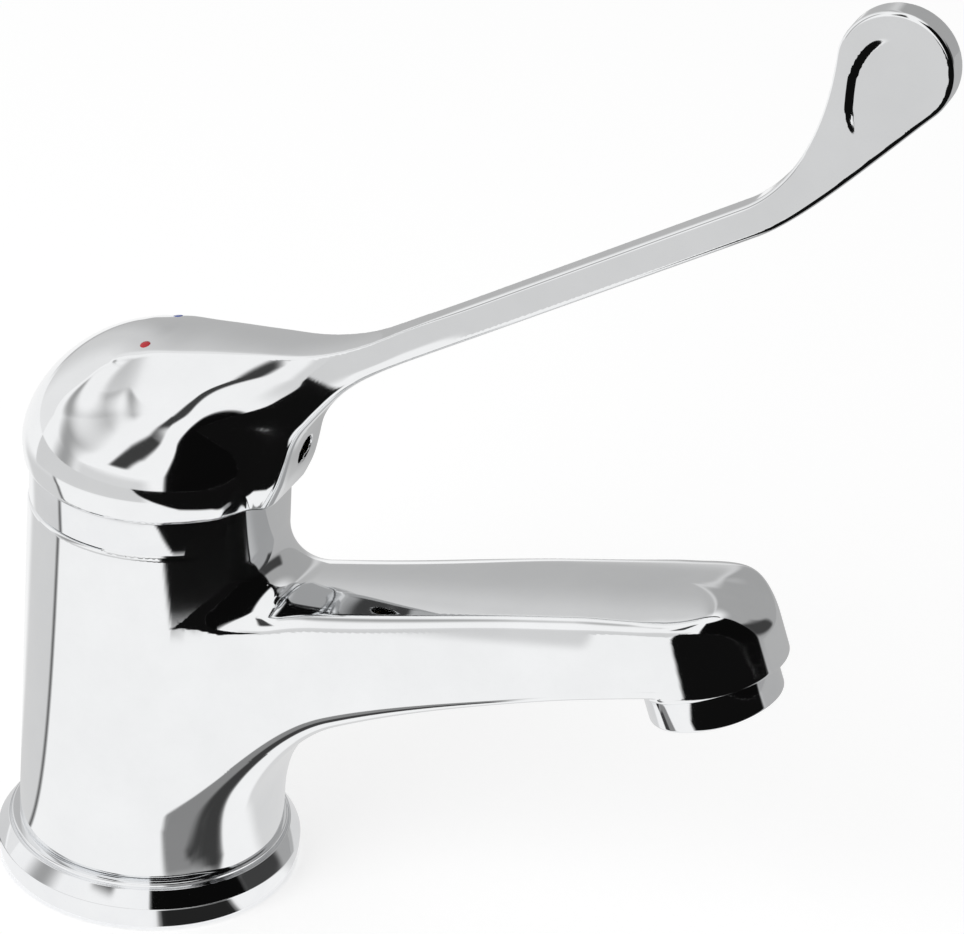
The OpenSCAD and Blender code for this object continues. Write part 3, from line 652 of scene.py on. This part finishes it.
# Stainless steel of pin, screw and strainer: grey, slightly brushed.
steel = finish("stainless_steel", ("#A9ABAD", "#C4C6C8"), (0.24, 0.38), 0.7, 0.015, Metallic=1.0)
# Sintered alumina discs: off-white, lapped smooth.
ceramic = finish("lapped_alumina_ceramic", ("#DDD9CF", "#ECE9E1"), (0.18, 0.3), 1.2, 0.0)
# Moulded acetal of the cartridge shell and the aerator's core: milky white, satin.
white_plastic = finish("moulded_white_acetal", ("#E3E4E2", "#EFEFEC"), (0.34, 0.46), 2.5, 0.02)
# Moulded glass-filled nylon of rotor and carrier: grey, slightly mottled.
grey_plastic = finish("moulded_grey_nylon", ("#77797B", "#8B8D8F"), (0.42, 0.56), 1.4, 0.03)
# Black nitrile rubber of seals and gaskets: soft sheen, fine moulded grain.
rubber = finish("black_nitrile_rubber", ("#161617", "#242426"), (0.55, 0.72), 0.8, 0.04)
# Red enamel in the hot mark: glossy, slightly uneven.
red = finish("red_enamel", ("#B01220", "#C81E2C"), (0.12, 0.22), 0.8, 0.01)
# Blue enamel in the cold mark: glossy, slightly uneven.
blue = finish("blue_enamel", ("#123C9C", "#1E50B4"), (0.12, 0.22), 0.8, 0.01)


def made(name, verts, faces, finishes, normals=None, inner=None):
    """An object from vertices in millimetres. inner says which faces take the second finish."""
    mesh = bpy.data.meshes.new(name)
    mesh.from_pydata((np.asarray(verts) * MM).tolist(), [], [list(f) for f in faces])
    for one in finishes:
        mesh.materials.append(one)
    mesh.polygons.foreach_set("use_smooth", np.ones(len(mesh.polygons), bool))
    if inner is not None:
        mesh.polygons.foreach_set("material_index", inner.astype(np.int32))
    if normals is not None:
        mesh.normals_split_custom_set_from_vertices(normals.tolist())
    mesh.update()
    piece = bpy.data.objects.new(name, mesh)
    bpy.context.scene.collection.objects.link(piece)
    return piece


def cast(name, form, low, high, cell, finishes, raw=None):
    """A piece skinned from its form, with fewer triangles where the form is even."""
    verts, faces = skin(form, low, high, cell)
    fine = made(name + "_fine", verts, faces, finishes)
    thin = fine.modifiers.new("thin", "DECIMATE")
    thin.ratio = min(1, MOST_TRIANGLES / (2 * len(faces)))
    light = bpy.data.meshes.new_from_object(fine.evaluated_get(bpy.context.evaluated_depsgraph_get()))
    verts = np.empty(3 * len(light.vertices))
    light.vertices.foreach_get("co", verts)
    verts = verts.reshape(-1, 3) / MM
    plain = np.empty(3 * len(light.vertices))
    light.vertex_normals.foreach_get("vector", plain)
    plain = plain.reshape(-1, 3)
    faces = [tuple(face.vertices) for face in light.polygons]
    for mesh in (fine.data, light):
        bpy.data.meshes.remove(mesh)
    # Normals come from the form, or from the mesh where the form has a sharp edge
    normals = slope(form, verts)
    normals /= np.maximum(np.linalg.norm(normals, axis=1), 1e-9)[:, None]
    agree = (normals * plain).sum(1) > SAME_WAY
    normals = np.where(agree[:, None], normals, plain)
    inner = None
    if raw:
        middle = np.array([verts[list(face)].mean(0) for face in faces])
        inner = raw(*middle.T)
    return made(name, verts, faces, finishes, normals, inner)


def fitted(piece, body, slot, *nodes):
    """Hangs a piece on the body that carries it, and hides the nodes that it stands for. slot is not used.
    """
    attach(piece, body)
    if nodes:
        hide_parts(*nodes)
    return piece


def rounded(points):
    """A closed outline whose corners (r, z, radius) are rounded."""
    steps = 6
    out = []
    count = len(points)
    for i, (r, z, radius) in enumerate(points):
        here = np.array((r, z))
        before = np.array(points[i - 1][:2]) - here
        after = np.array(points[(i + 1) % count][:2]) - here
        before /= np.linalg.norm(before)
        after /= np.linalg.norm(after)
        if not radius:
            out.append(here)
            continue
        half = math.acos(np.clip(before @ after, -1, 1)) / 2
        centre = here + (before + after) / np.linalg.norm(before + after) * radius / math.sin(half)
        start = here + before * radius / math.tan(half) - centre
        end = here + after * radius / math.tan(half) - centre
        for k in range(steps + 1):
            share = k / steps
            arm = start * (1 - share) + end * share
            out.append(centre + arm / np.linalg.norm(arm) * radius)
    return np.array(out)


def turned(name, points, material, tilted=False):
    """A ring turned from a closed outline, about the upright axis or about the outlet's."""
    steps = 192
    sharp = math.radians(35)
    outline = rounded(points)
    size = len(outline)
    angles = np.arange(steps) * 2 * math.pi / steps
    x = outline[None, :, 0] * np.cos(angles)[:, None]
    y = outline[None, :, 0] * np.sin(angles)[:, None]
    z = np.broadcast_to(outline[:, 1], x.shape)
    if tilted:
        c, s = math.cos(OUTLET_TILT), math.sin(OUTLET_TILT)
        x, z = OUTLET_X + x * c - z * s, OUTLET_Z + x * s + z * c
    verts = np.stack((x, y, z), 2).reshape(-1, 3)
    faces = []
    for i in range(steps):
        j = (i + 1) % steps
        for k in range(size):
            m = (k + 1) % size
            faces.append((i * size + k, j * size + k, j * size + m, i * size + m))
    piece = made(name, verts, faces, [material])
    piece.data.set_sharp_from_angle(angle=sharp)
    return piece


def inside_body(x, y, z):
    """True for the raw walls inside the body and for its spigot in the ring."""
    return (np.hypot(x, y) < COUNTER_R + RAW_PAST) | (z < RING_H - RAW_UNDER)


body_cell, lever_cell = FINE_CELLS
body = cast("tap_body_cast", body_form, BODY_LOW, BODY_HIGH, body_cell, [chrome, brass_cast], inside_body)
fitted(body, "tap", "chrome_body", "tap_body")
lever = cast("lever_handle_cast", lever_form, LEVER_LOW, LEVER_HIGH, lever_cell, [chrome])
fitted(lever, "lever", "chrome_lever", "lever_handle")

# Turned rings: each corner of an outline is radius, height and rounding
base_ring = turned("base_ring_turned", [
    (RING_IN, RING_BOTTOM, 0), (GASKET_IN, RING_BOTTOM, 0), (GASKET_IN, GASKET_H, 0),
    (GASKET_R, GASKET_H, 0), (GASKET_R, RING_BOTTOM, 0), (RING_R, RING_BOTTOM, 0.25),
    (RING_R, RING_WALL, 0.8), (RIM_R + GROOVE_W, RING_H - GROOVE_UP, 0.25),
    (RIM_R, RING_H - GROOVE_UP - GROOVE_D, 0.12), (RIM_R, RING_H, 0.3), (RING_IN, RING_H, 0)], chrome_turned)
fitted(base_ring, "tap", "chrome_trim", "base_ring")
collar = turned("collar_turned", [
    (COLLAR_IN, COLLAR_LOW, 0), (COLLAR_SPIGOT, COLLAR_LOW, 0), (COLLAR_SPIGOT, BODY_TOP, 0),
    (COLLAR_SEAT, BODY_TOP, 0), (COLLAR_SEAT, BODY_TOP + COLLAR_GAP, 0),
    (COLLAR_R, BODY_TOP + COLLAR_GAP, 0.12), (COLLAR_R, COLLAR_TOP, 0.35),
    (COLLAR_SPIGOT, COLLAR_TOP, 0), (COLLAR_IN, BODY_TOP + COLLAR_LEAD, 0)], chrome_turned)
fitted(collar, "tap", "chrome_trim", "collar")
housing = turned("aerator_housing_turned", [
    (MOUTH_R, 0, 0.3), (AERATOR_R, 0, 0.6), (AERATOR_R, NOSE_SEAM, 0.2), (THREAD_R, NOSE_SEAM, 0),
    (THREAD_R, THREAD_TOP, 0.3), (THREAD_IN, THREAD_TOP, 0), (THREAD_IN, MOUTH_UP, 0),
    (MOUTH_R, MOUTH_UP, 0)], chrome_turned, tilted=True)
fitted(housing, "tap", "chrome_trim", "aerator_housing")


def on_lever(x, y):
    """Place and normal on top of the lever above a point."""
    low, high = 100.0, 114.0
    halvings = 40
    for _ in range(halvings):
        z = (low + high) / 2
        if lever_form(*(np.array([v]) for v in (x, y, z)))[0] > 0:
            high = z
        else:
            low = z
    place = np.array((x, y, z))
    normal = slope(lever_form, place[None])[0]
    return place, normal / np.linalg.norm(normal)


def inlay(name, x, y, material):
    """A round mark with a softly crowned face, let into the lever."""
    place, normal = on_lever(x, y)
    right = np.cross((0, 1, 0), normal)
    right /= np.linalg.norm(right)
    ahead = np.cross(normal, right)
    steps = 32
    verts = [place + normal * MARK_CROWN]
    for share, up in MARK_RINGS:
        for i in range(steps):
            a = i * 2 * math.pi / steps
            out = math.cos(a) * right + math.sin(a) * ahead
            verts.append(place + share * MARK_R * out + up * normal)
    verts.append(place - normal * MARK_DEEP)
    faces = []
    for i in range(steps):
        j = (i + 1) % steps
        faces.append((0, 1 + i, 1 + j))
        for k in range(len(MARK_RINGS) - 1):
            start, after = 1 + k * steps, 1 + (k + 1) * steps
            faces.append((start + i, after + i, after + j, start + j))
        last = 1 + (len(MARK_RINGS) - 1) * steps
        faces.append((len(verts) - 1, last + j, last + i))
    return made(name, verts, faces, [material])


fitted(inlay("hot_mark_inlay", MARK_X, -MARK_Y, red), "lever", "red_mark", "hot_mark")
fitted(inlay("cold_mark_inlay", MARK_X, COLD_Y, blue), "lever", "blue_mark", "cold_mark")


def new_tree(name, inputs):
    """A Geometry Nodes tree with named inputs. It gives the tree and its input node."""
    tree = bpy.data.node_groups.new(name, "GeometryNodeTree")
    tree.interface.new_socket("Geometry", in_out="OUTPUT", socket_type="NodeSocketGeometry")
    for label, kind in inputs:
        tree.interface.new_socket(label, in_out="INPUT", socket_type=kind)
    return tree, put(tree, "NodeGroupInput").outputs


def grown(name, tree, values):
    """The plain mesh that a tree makes from the given values."""
    piece = bpy.data.objects.new(name, bpy.data.meshes.new(name + "_start"))
    bpy.context.scene.collection.objects.link(piece)
    shape = piece.modifiers.new("shape", "NODES")
    shape.node_group = tree
    for item in tree.interface.items_tree:
        if item.in_out == "INPUT":
            shape[item.identifier] = values[item.name]
    graph = bpy.context.evaluated_depsgraph_get()
    mesh = bpy.data.meshes.new_from_object(piece.evaluated_get(graph))
    piece.modifiers.clear()
    piece.data = mesh
    mesh.name = name
    return piece


# Core of the aerator: rows of six-sided cells inside a rim, set into the tilted outlet
core_tree, given = new_tree("aerator_cells", (
    ("Cell", "NodeSocketFloat"), ("Wall", "NodeSocketFloat"), ("Depth", "NodeSocketFloat"),
    ("Reach", "NodeSocketFloat"), ("Rim", "NodeSocketFloat"), ("Rows", "NodeSocketInt"),
    ("Place", "NodeSocketVector"), ("Turn", "NodeSocketVector"), ("Material", "NodeSocketMaterial")))
step_y = put(core_tree, "ShaderNodeMath", {0: given["Cell"], 1: math.sqrt(3) / 2},
             operation="MULTIPLY").outputs[0]
gaps = put(core_tree, "ShaderNodeMath", {0: given["Rows"], 1: 1.0}, operation="SUBTRACT").outputs[0]
wide = put(core_tree, "ShaderNodeMath", {0: given["Cell"], 1: gaps}, operation="MULTIPLY").outputs[0]
tall = put(core_tree, "ShaderNodeMath", {0: step_y, 1: gaps}, operation="MULTIPLY").outputs[0]
field = put(core_tree, "GeometryNodeMeshGrid", {"Size X": wide, "Size Y": tall, "Vertices X": given["Rows"],
                                                "Vertices Y": given["Rows"]}).outputs["Mesh"]
where = put(core_tree, "GeometryNodeInputPosition").outputs[0]
row = put(core_tree, "ShaderNodeSeparateXYZ", {0: where}).outputs["Y"]
row = put(core_tree, "ShaderNodeMath", {0: row, 1: step_y}, operation="DIVIDE").outputs[0]
row = put(core_tree, "ShaderNodeMath", {0: row}, operation="ROUND").outputs[0]
odd = put(core_tree, "ShaderNodeMath", {0: row, 1: 2.0}, operation="FLOORED_MODULO").outputs[0]
shift = put(core_tree, "ShaderNodeMath", {0: odd, 1: given["Cell"]}, operation="MULTIPLY").outputs[0]
shift = put(core_tree, "ShaderNodeMath", {0: shift, 1: 0.5}, operation="MULTIPLY").outputs[0]
shift = put(core_tree, "ShaderNodeCombineXYZ", {"X": shift}).outputs[0]
field = put(core_tree, "GeometryNodeSetPosition", {"Geometry": field, "Offset": shift}).outputs[0]
where = put(core_tree, "GeometryNodeInputPosition").outputs[0]
out = put(core_tree, "ShaderNodeVectorMath", {0: where}, operation="LENGTH").outputs["Value"]
out = put(core_tree, "ShaderNodeMath", {0: out, 1: given["Reach"]}, operation="GREATER_THAN").outputs[0]
field = put(core_tree, "GeometryNodeDeleteGeometry", {"Geometry": field, "Selection": out}).outputs[0]
corner = put(core_tree, "ShaderNodeMath", {0: given["Cell"], 1: math.sqrt(3)}, operation="DIVIDE").outputs[0]
path = put(core_tree, "GeometryNodeCurvePrimitiveCircle", {"Resolution": 6, "Radius": corner}).outputs[0]
strip = put(core_tree, "GeometryNodeCurvePrimitiveQuadrilateral", {"Width": given["Wall"],
                                                                   "Height": given["Depth"]}).outputs[0]
tube = put(core_tree, "GeometryNodeCurveToMesh", {"Curve": path, "Profile Curve": strip}).outputs[0]
cells = put(core_tree, "GeometryNodeInstanceOnPoints", {"Points": field, "Instance": tube,
                                                        "Rotation": (0, 0, math.radians(30))}).outputs[0]
path = put(core_tree, "GeometryNodeCurvePrimitiveCircle", {"Resolution": CORE_STEPS,
                                                           "Radius": given["Rim"]}).outputs[0]
band = put(core_tree, "GeometryNodeCurveToMesh", {"Curve": path, "Profile Curve": strip}).outputs[0]
both = put(core_tree, "GeometryNodeJoinGeometry")
core_tree.links.new(cells, both.inputs[0])
core_tree.links.new(band, both.inputs[0])
core = put(core_tree, "GeometryNodeTransform", {"Geometry": both.outputs[0], "Translation": given["Place"],
                                                "Rotation": given["Turn"]}).outputs[0]
core = put(core_tree, "GeometryNodeRealizeInstances", {"Geometry": core}).outputs[0]
core = put(core_tree, "GeometryNodeSetMaterial", {"Geometry": core,
                                                  "Material": given["Material"]}).outputs[0]
put(core_tree, "NodeGroupOutput", {"Geometry": core})
middle_x = OUTLET_X - CORE_MID * math.sin(OUTLET_TILT)
middle_z = OUTLET_Z + CORE_MID * math.cos(OUTLET_TILT)
core = grown("aerator_core_cells", core_tree, {
    "Cell": CORE_CELL * MM, "Wall": CORE_WALL * MM, "Depth": CORE_DEEP * MM, "Reach": CORE_REACH * MM,
    "Rim": CORE_RIM * MM, "Rows": CORE_ROWS, "Place": (middle_x * MM, 0, middle_z * MM),
    "Turn": (0, -OUTLET_TILT, 0), "Material": white_plastic})
fitted(core, "tap", "white_plastic", "aerator_insert")

# Threads in the foot: ribs stacked up the wall of each hole
thread_tree, given = new_tree("thread_ribs", (
    ("Radius", "NodeSocketFloat"), ("Pitch", "NodeSocketFloat"), ("Turns", "NodeSocketInt"),
    ("Place", "NodeSocketVector"), ("Material", "NodeSocketMaterial")))
climb = put(thread_tree, "ShaderNodeCombineXYZ", {"Z": given["Pitch"]}).outputs[0]
stack = put(thread_tree, "GeometryNodeMeshLine", {"Count": given["Turns"], "Start Location": given["Place"],
                                                  "Offset": climb}).outputs[0]
path = put(thread_tree, "GeometryNodeCurvePrimitiveCircle", {"Resolution": THREAD_STEPS,
                                                             "Radius": given["Radius"]}).outputs[0]
tooth = put(thread_tree, "ShaderNodeMath", {0: given["Pitch"], 1: THREAD_TOOTH},
            operation="MULTIPLY").outputs[0]
edge = put(thread_tree, "GeometryNodeCurvePrimitiveCircle", {"Resolution": 4, "Radius": tooth}).outputs[0]
rib = put(thread_tree, "GeometryNodeCurveToMesh", {"Curve": path, "Profile Curve": edge}).outputs[0]
ribs = put(thread_tree, "GeometryNodeInstanceOnPoints", {"Points": stack, "Instance": rib}).outputs[0]
ribs = put(thread_tree, "GeometryNodeRealizeInstances", {"Geometry": ribs}).outputs[0]
ribs = put(thread_tree, "GeometryNodeSetMaterial", {"Geometry": ribs,
                                                    "Material": given["Material"]}).outputs[0]
put(thread_tree, "NodeGroupOutput", {"Geometry": ribs})
for name, place, radius, pitch, turns in (
        ("inlet_thread_hot", INLET_AT[0], INLET_R, INLET_PITCH, INLET_TURNS),
        ("inlet_thread_cold", INLET_AT[1], INLET_R, INLET_PITCH, INLET_TURNS),
        ("stud_thread", STUD_AT, STUD_R, STUD_PITCH, STUD_TURNS)):
    ribs = grown(name, thread_tree, {
        "Radius": radius * MM, "Pitch": pitch * MM, "Turns": turns,
        "Place": (place[0] * MM, place[1] * MM, (WEB_Z + pitch) * MM), "Material": brass})
    fitted(ribs, "tap", "brass")

# Nodes whose solid already has the right shape
for node, material in (
        ("base_gasket", rubber), ("clamp_nut", brass), ("cartridge_housing", white_plastic),
        ("cartridge_base", white_plastic), ("housing_seal", rubber), ("inlet_seals", rubber),
        ("disc_gasket", rubber), ("fixed_disc", ceramic), ("moving_disc", ceramic),
        ("disc_coupler", grey_plastic), ("rotor", grey_plastic), ("pivot_pin", steel), ("stem", brass),
        ("grub_screw", steel), ("aerator_screen", steel), ("aerator_washer", rubber)):
    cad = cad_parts[node].data
    cad.materials.clear()
    cad.materials.append(material)

# Camera: place in metres, turn about x, y and z in degrees, and lens on a 36 mm frame
CAMERA_AT = (0.28035, -0.60393, 0.44304)
CAMERA_TURN = (61.5898, -3.5724, 21.9304)
CAMERA_LENS = 159.11
camera = bpy.data.cameras.new("camera")
camera.sensor_width = 36
camera.lens = CAMERA_LENS
camera.clip_end = 20
eye = bpy.data.objects.new("camera", camera)
turn = Euler([math.radians(a) for a in CAMERA_TURN])
eye.matrix_world = Matrix.LocRotScale(Vector(CAMERA_AT), turn, None)
bpy.context.scene.collection.objects.link(eye)
bpy.context.scene.camera = eye
bpy.context.scene.view_settings.view_transform = "Standard"


def seen_level(tree, level):
    """A strength that holds for camera, glossy and transmission rays, and is 0 for light on the object."""
    path = put(tree, "ShaderNodeLightPath")
    shown = put(tree, "ShaderNodeMath", {0: path.outputs["Is Camera Ray"], 1: path.outputs["Is Glossy Ray"]},
                operation="MAXIMUM")
    shown = put(tree, "ShaderNodeMath", {0: shown.outputs[0], 1: path.outputs["Is Transmission Ray"]},
                operation="MAXIMUM")
    return put(tree, "ShaderNodeMath", {0: shown.outputs[0], 1: level}, operation="MULTIPLY").outputs[0]


def stage_mesh(name, points, faces, material):
    """A piece of the studio, which isn't part of the tap."""
    mesh = bpy.data.meshes.new(name)
    mesh.from_pydata([tuple(p) for p in points], [], faces)
    mesh.materials.append(material)
    piece = bpy.data.objects.new(name, mesh)
    bpy.context.scene.collection.objects.link(piece)
    return piece


# Floor: matt white paper, part of its white given by its own light so that only the shadow darkens it
PAPER_GLOW = 0.66
FLOOR_HALF = 4
paper = bpy.data.materials.new("matt_white_paper")
paper.use_nodes = True
tree = paper.node_tree
matt = tree.nodes["Principled BSDF"]
matt.inputs["Base Color"].default_value = linear("#B9B9B9")
matt.inputs["Roughness"].default_value = 0.9
matt.inputs["Specular IOR Level"].default_value = 0.0
matt.inputs["Emission Color"].default_value = (1, 1, 1, 1)
tree.links.new(seen_level(tree, PAPER_GLOW), matt.inputs["Emission Strength"])
corners = [(i * FLOOR_HALF, j * FLOOR_HALF, 0) for i, j in ((-1, -1), (1, -1), (1, 1), (-1, 1))]
stage_mesh("floor", corners, [(0, 1, 2, 3)], paper)


def span(low, high, soft, value):
    """1 between low and high, 0 outside, with soft edges."""
    return ease(low - soft, low + soft, value) * (1 - ease(high - soft, high + soft, value))


# Cards round the object, which only reflections see. Each has azimuth from and to, elevation from and to,
# soft edges of both, and a level of grey.
OPEN_WHITE = 0.98
ROUND_CARDS = (
    # Grey panel behind the left edge of body and dome
    (-158, -140, -90, 48, 8, 8, 0.64),
    # Pale strip low on the near side
    (-135, -76, -90, 8, 6, 4, 0.86),
    # Dark streak across the dish
    (-111, -93, 33, 66, 3, 5, 0.24),
    # Wall behind, in three steps that brighten to the left
    (106, 190, -90, 72, 6, 10, 0.72),
    (126, 190, -90, 72, 10, 10, 0.82),
    (148, 190, -90, 72, 12, 10, 0.93),
    # Wall on the far right, with a darker patch low down
    (8, 104, -90, 63, 4, 15, 0.65),
    (8, 45, 4, 26, 4, 4, 0.25),
    # Black card on the right, which flank, collar and nose show
    (-63, 9, -90, 61, 1.5, 3, 0.04))


def round_level(az, el):
    """Level of grey that reflections meet in a direction."""
    level = np.full_like(az, OPEN_WHITE)
    for left, right, low, high, soft_az, soft_el, grey in ROUND_CARDS:
        cover = span(left, right, soft_az, az) * span(low, high, soft_el, el)
        level = level + (grey - level) * cover
    return level


def floor_level(x, y):
    """Level of grey that reflections meet on the floor, by place in metres, with painted shade under the
    spout and against the ring.
    """
    az = np.degrees(np.arctan2(y, x))
    r = np.hypot(x, y)
    level = np.full_like(x, OPEN_WHITE)
    near = 1 - ease(0.15, 0.3, r)
    far = ease(0.128, 0.136, r)
    right = span(9, 100, 6, az)
    left = np.maximum(span(-200, -157, 2, az), ease(150, 165, az))
    beside = ease(0.077, 0.081, x)
    # Outline of the painted shade on the floor under the spout, beside the body
    shade_arch = ease(-0.002, 0.002, x - 0.02 - 0.55 * (-y - 0.028))
    shade_arch = shade_arch * ease(0.036, 0.039, r) * (1 - ease(0.06, 0.07, x))
    zones = (
        # Far right, paler close to the base
        (right, 0.86),
        (right * ease(0.1, 0.14, r), 0.7),
        # Far away behind
        (span(106, 140, 6, az) * ease(0.7, 0.9, r), 0.72),
        # Left, with the dark line that runs up the body
        (left * near, 0.84),
        (span(-157.5, -154.5, 1.2, az) * near, 0.35),
        # In front, beyond the base
        (span(-190, -76, 5, az) * ease(0.195, 0.225, r), 0.84),
        # Black beyond the spout
        (span(-90, 9, 2, az) * beside * far, 0.06),
        # Painted shade on the floor under the spout, which only reflections see: a grey arch with a dark
        # middle
        (span(-0.047, -0.017, 0.0015, y) * shade_arch, 0.54),
        (span(-0.03, -0.018, 0.002, y) * span(0.033, 0.065, 0.0015, x), 0.24),
        # Painted shade on the floor against the ring, which only reflections see
        (span(-60, -27, 2, az) * (1 - ease(0.0355, 0.0375, r)), 0.14))
    for cover, grey in zones:
        level = level + (grey - level) * cover
    return level


card_tone = bpy.data.materials.new("studio_card")
card_tone.use_nodes = True
card_tone.node_tree.nodes.clear()
level = put(card_tone.node_tree, "ShaderNodeAttribute", attribute_name="level")
glow = put(card_tone.node_tree, "ShaderNodeEmission", {"Color": level.outputs["Color"], "Strength": 1.0})
put(card_tone.node_tree, "ShaderNodeOutputMaterial", {"Surface": glow.outputs[0]})


def card(name, x, y, z, levels):
    """A studio card on a grid of points, shaded by levels. Only reflections see it."""
    rows, columns = x.shape
    points = np.stack((x, y, z), 2).reshape(-1, 3)
    faces = [(j * columns + i, j * columns + i + 1, (j + 1) * columns + i + 1, (j + 1) * columns + i)
             for j in range(rows - 1) for i in range(columns - 1)]
    piece = stage_mesh(name, points, faces, card_tone)
    grey = np.where(levels <= 0.04045, levels / 12.92, ((levels + 0.055) / 1.055) ** 2.4).ravel()
    shade = piece.data.color_attributes.new("level", "FLOAT_COLOR", "POINT")
    shade.data.foreach_set("color", np.stack((grey, grey, grey, np.ones_like(grey)), 1).ravel())
    piece.visible_camera = False
    piece.visible_diffuse = False
    piece.visible_shadow = False
    piece.visible_volume_scatter = False
    return piece


# Reach of the cards in metres, their step in degrees, and where the floor's card starts and lies
CARD_FAR = 1.7
CARD_STEP = 1.5
CARD_MID = 0.06
CARD_RINGS = 90
FLOOR_FROM = 0.029
FLOOR_UP = 0.0004
turns = np.arange(-180, 180.1, CARD_STEP)
az, el = np.meshgrid(turns, np.arange(-2, 89.1, CARD_STEP))
out = CARD_FAR * np.cos(np.radians(el))
card("card_round", out * np.cos(np.radians(az)), out * np.sin(np.radians(az)),
     CARD_MID + CARD_FAR * np.sin(np.radians(el)), round_level(az, el))
az, r = np.meshgrid(np.radians(turns), np.geomspace(FLOOR_FROM, CARD_FAR, CARD_RINGS))
x, y = r * np.cos(az), r * np.sin(az)
card("card_floor", x, y, np.full_like(r, FLOOR_UP), floor_level(x, y))

# Sky: white where it is seen, and a plain level of light on the object
SKY_LIGHT = 0.55
world = bpy.data.worlds.new("studio")
bpy.context.scene.world = world
world.use_nodes = True
tree = world.node_tree
sky = tree.nodes["Background"]
sky.inputs["Color"].default_value = (1, 1, 1, 1)
lift = put(tree, "ShaderNodeMath", {0: seen_level(tree, 1 - SKY_LIGHT), 1: SKY_LIGHT}, operation="ADD")
tree.links.new(lift.outputs[0], sky.inputs["Strength"])

# Soft box from the left: place and aim in metres
BOX_AT = Vector((-0.43, -1.12, 0.75))
BOX_AIM = Vector((0.03, 0, 0.08))
lamp = bpy.data.lights.new("soft_box", "AREA")
lamp.shape = "RECTANGLE"
lamp.size = 0.9
lamp.size_y = 1.1
lamp.energy = 9
box = bpy.data.objects.new("soft_box", lamp)
box.matrix_world = Matrix.LocRotScale(BOX_AT, (BOX_AIM - BOX_AT).to_track_quat("-Z", "Y"), None)
box.visible_camera = False
box.visible_glossy = False
bpy.context.scene.collection.objects.link(box)
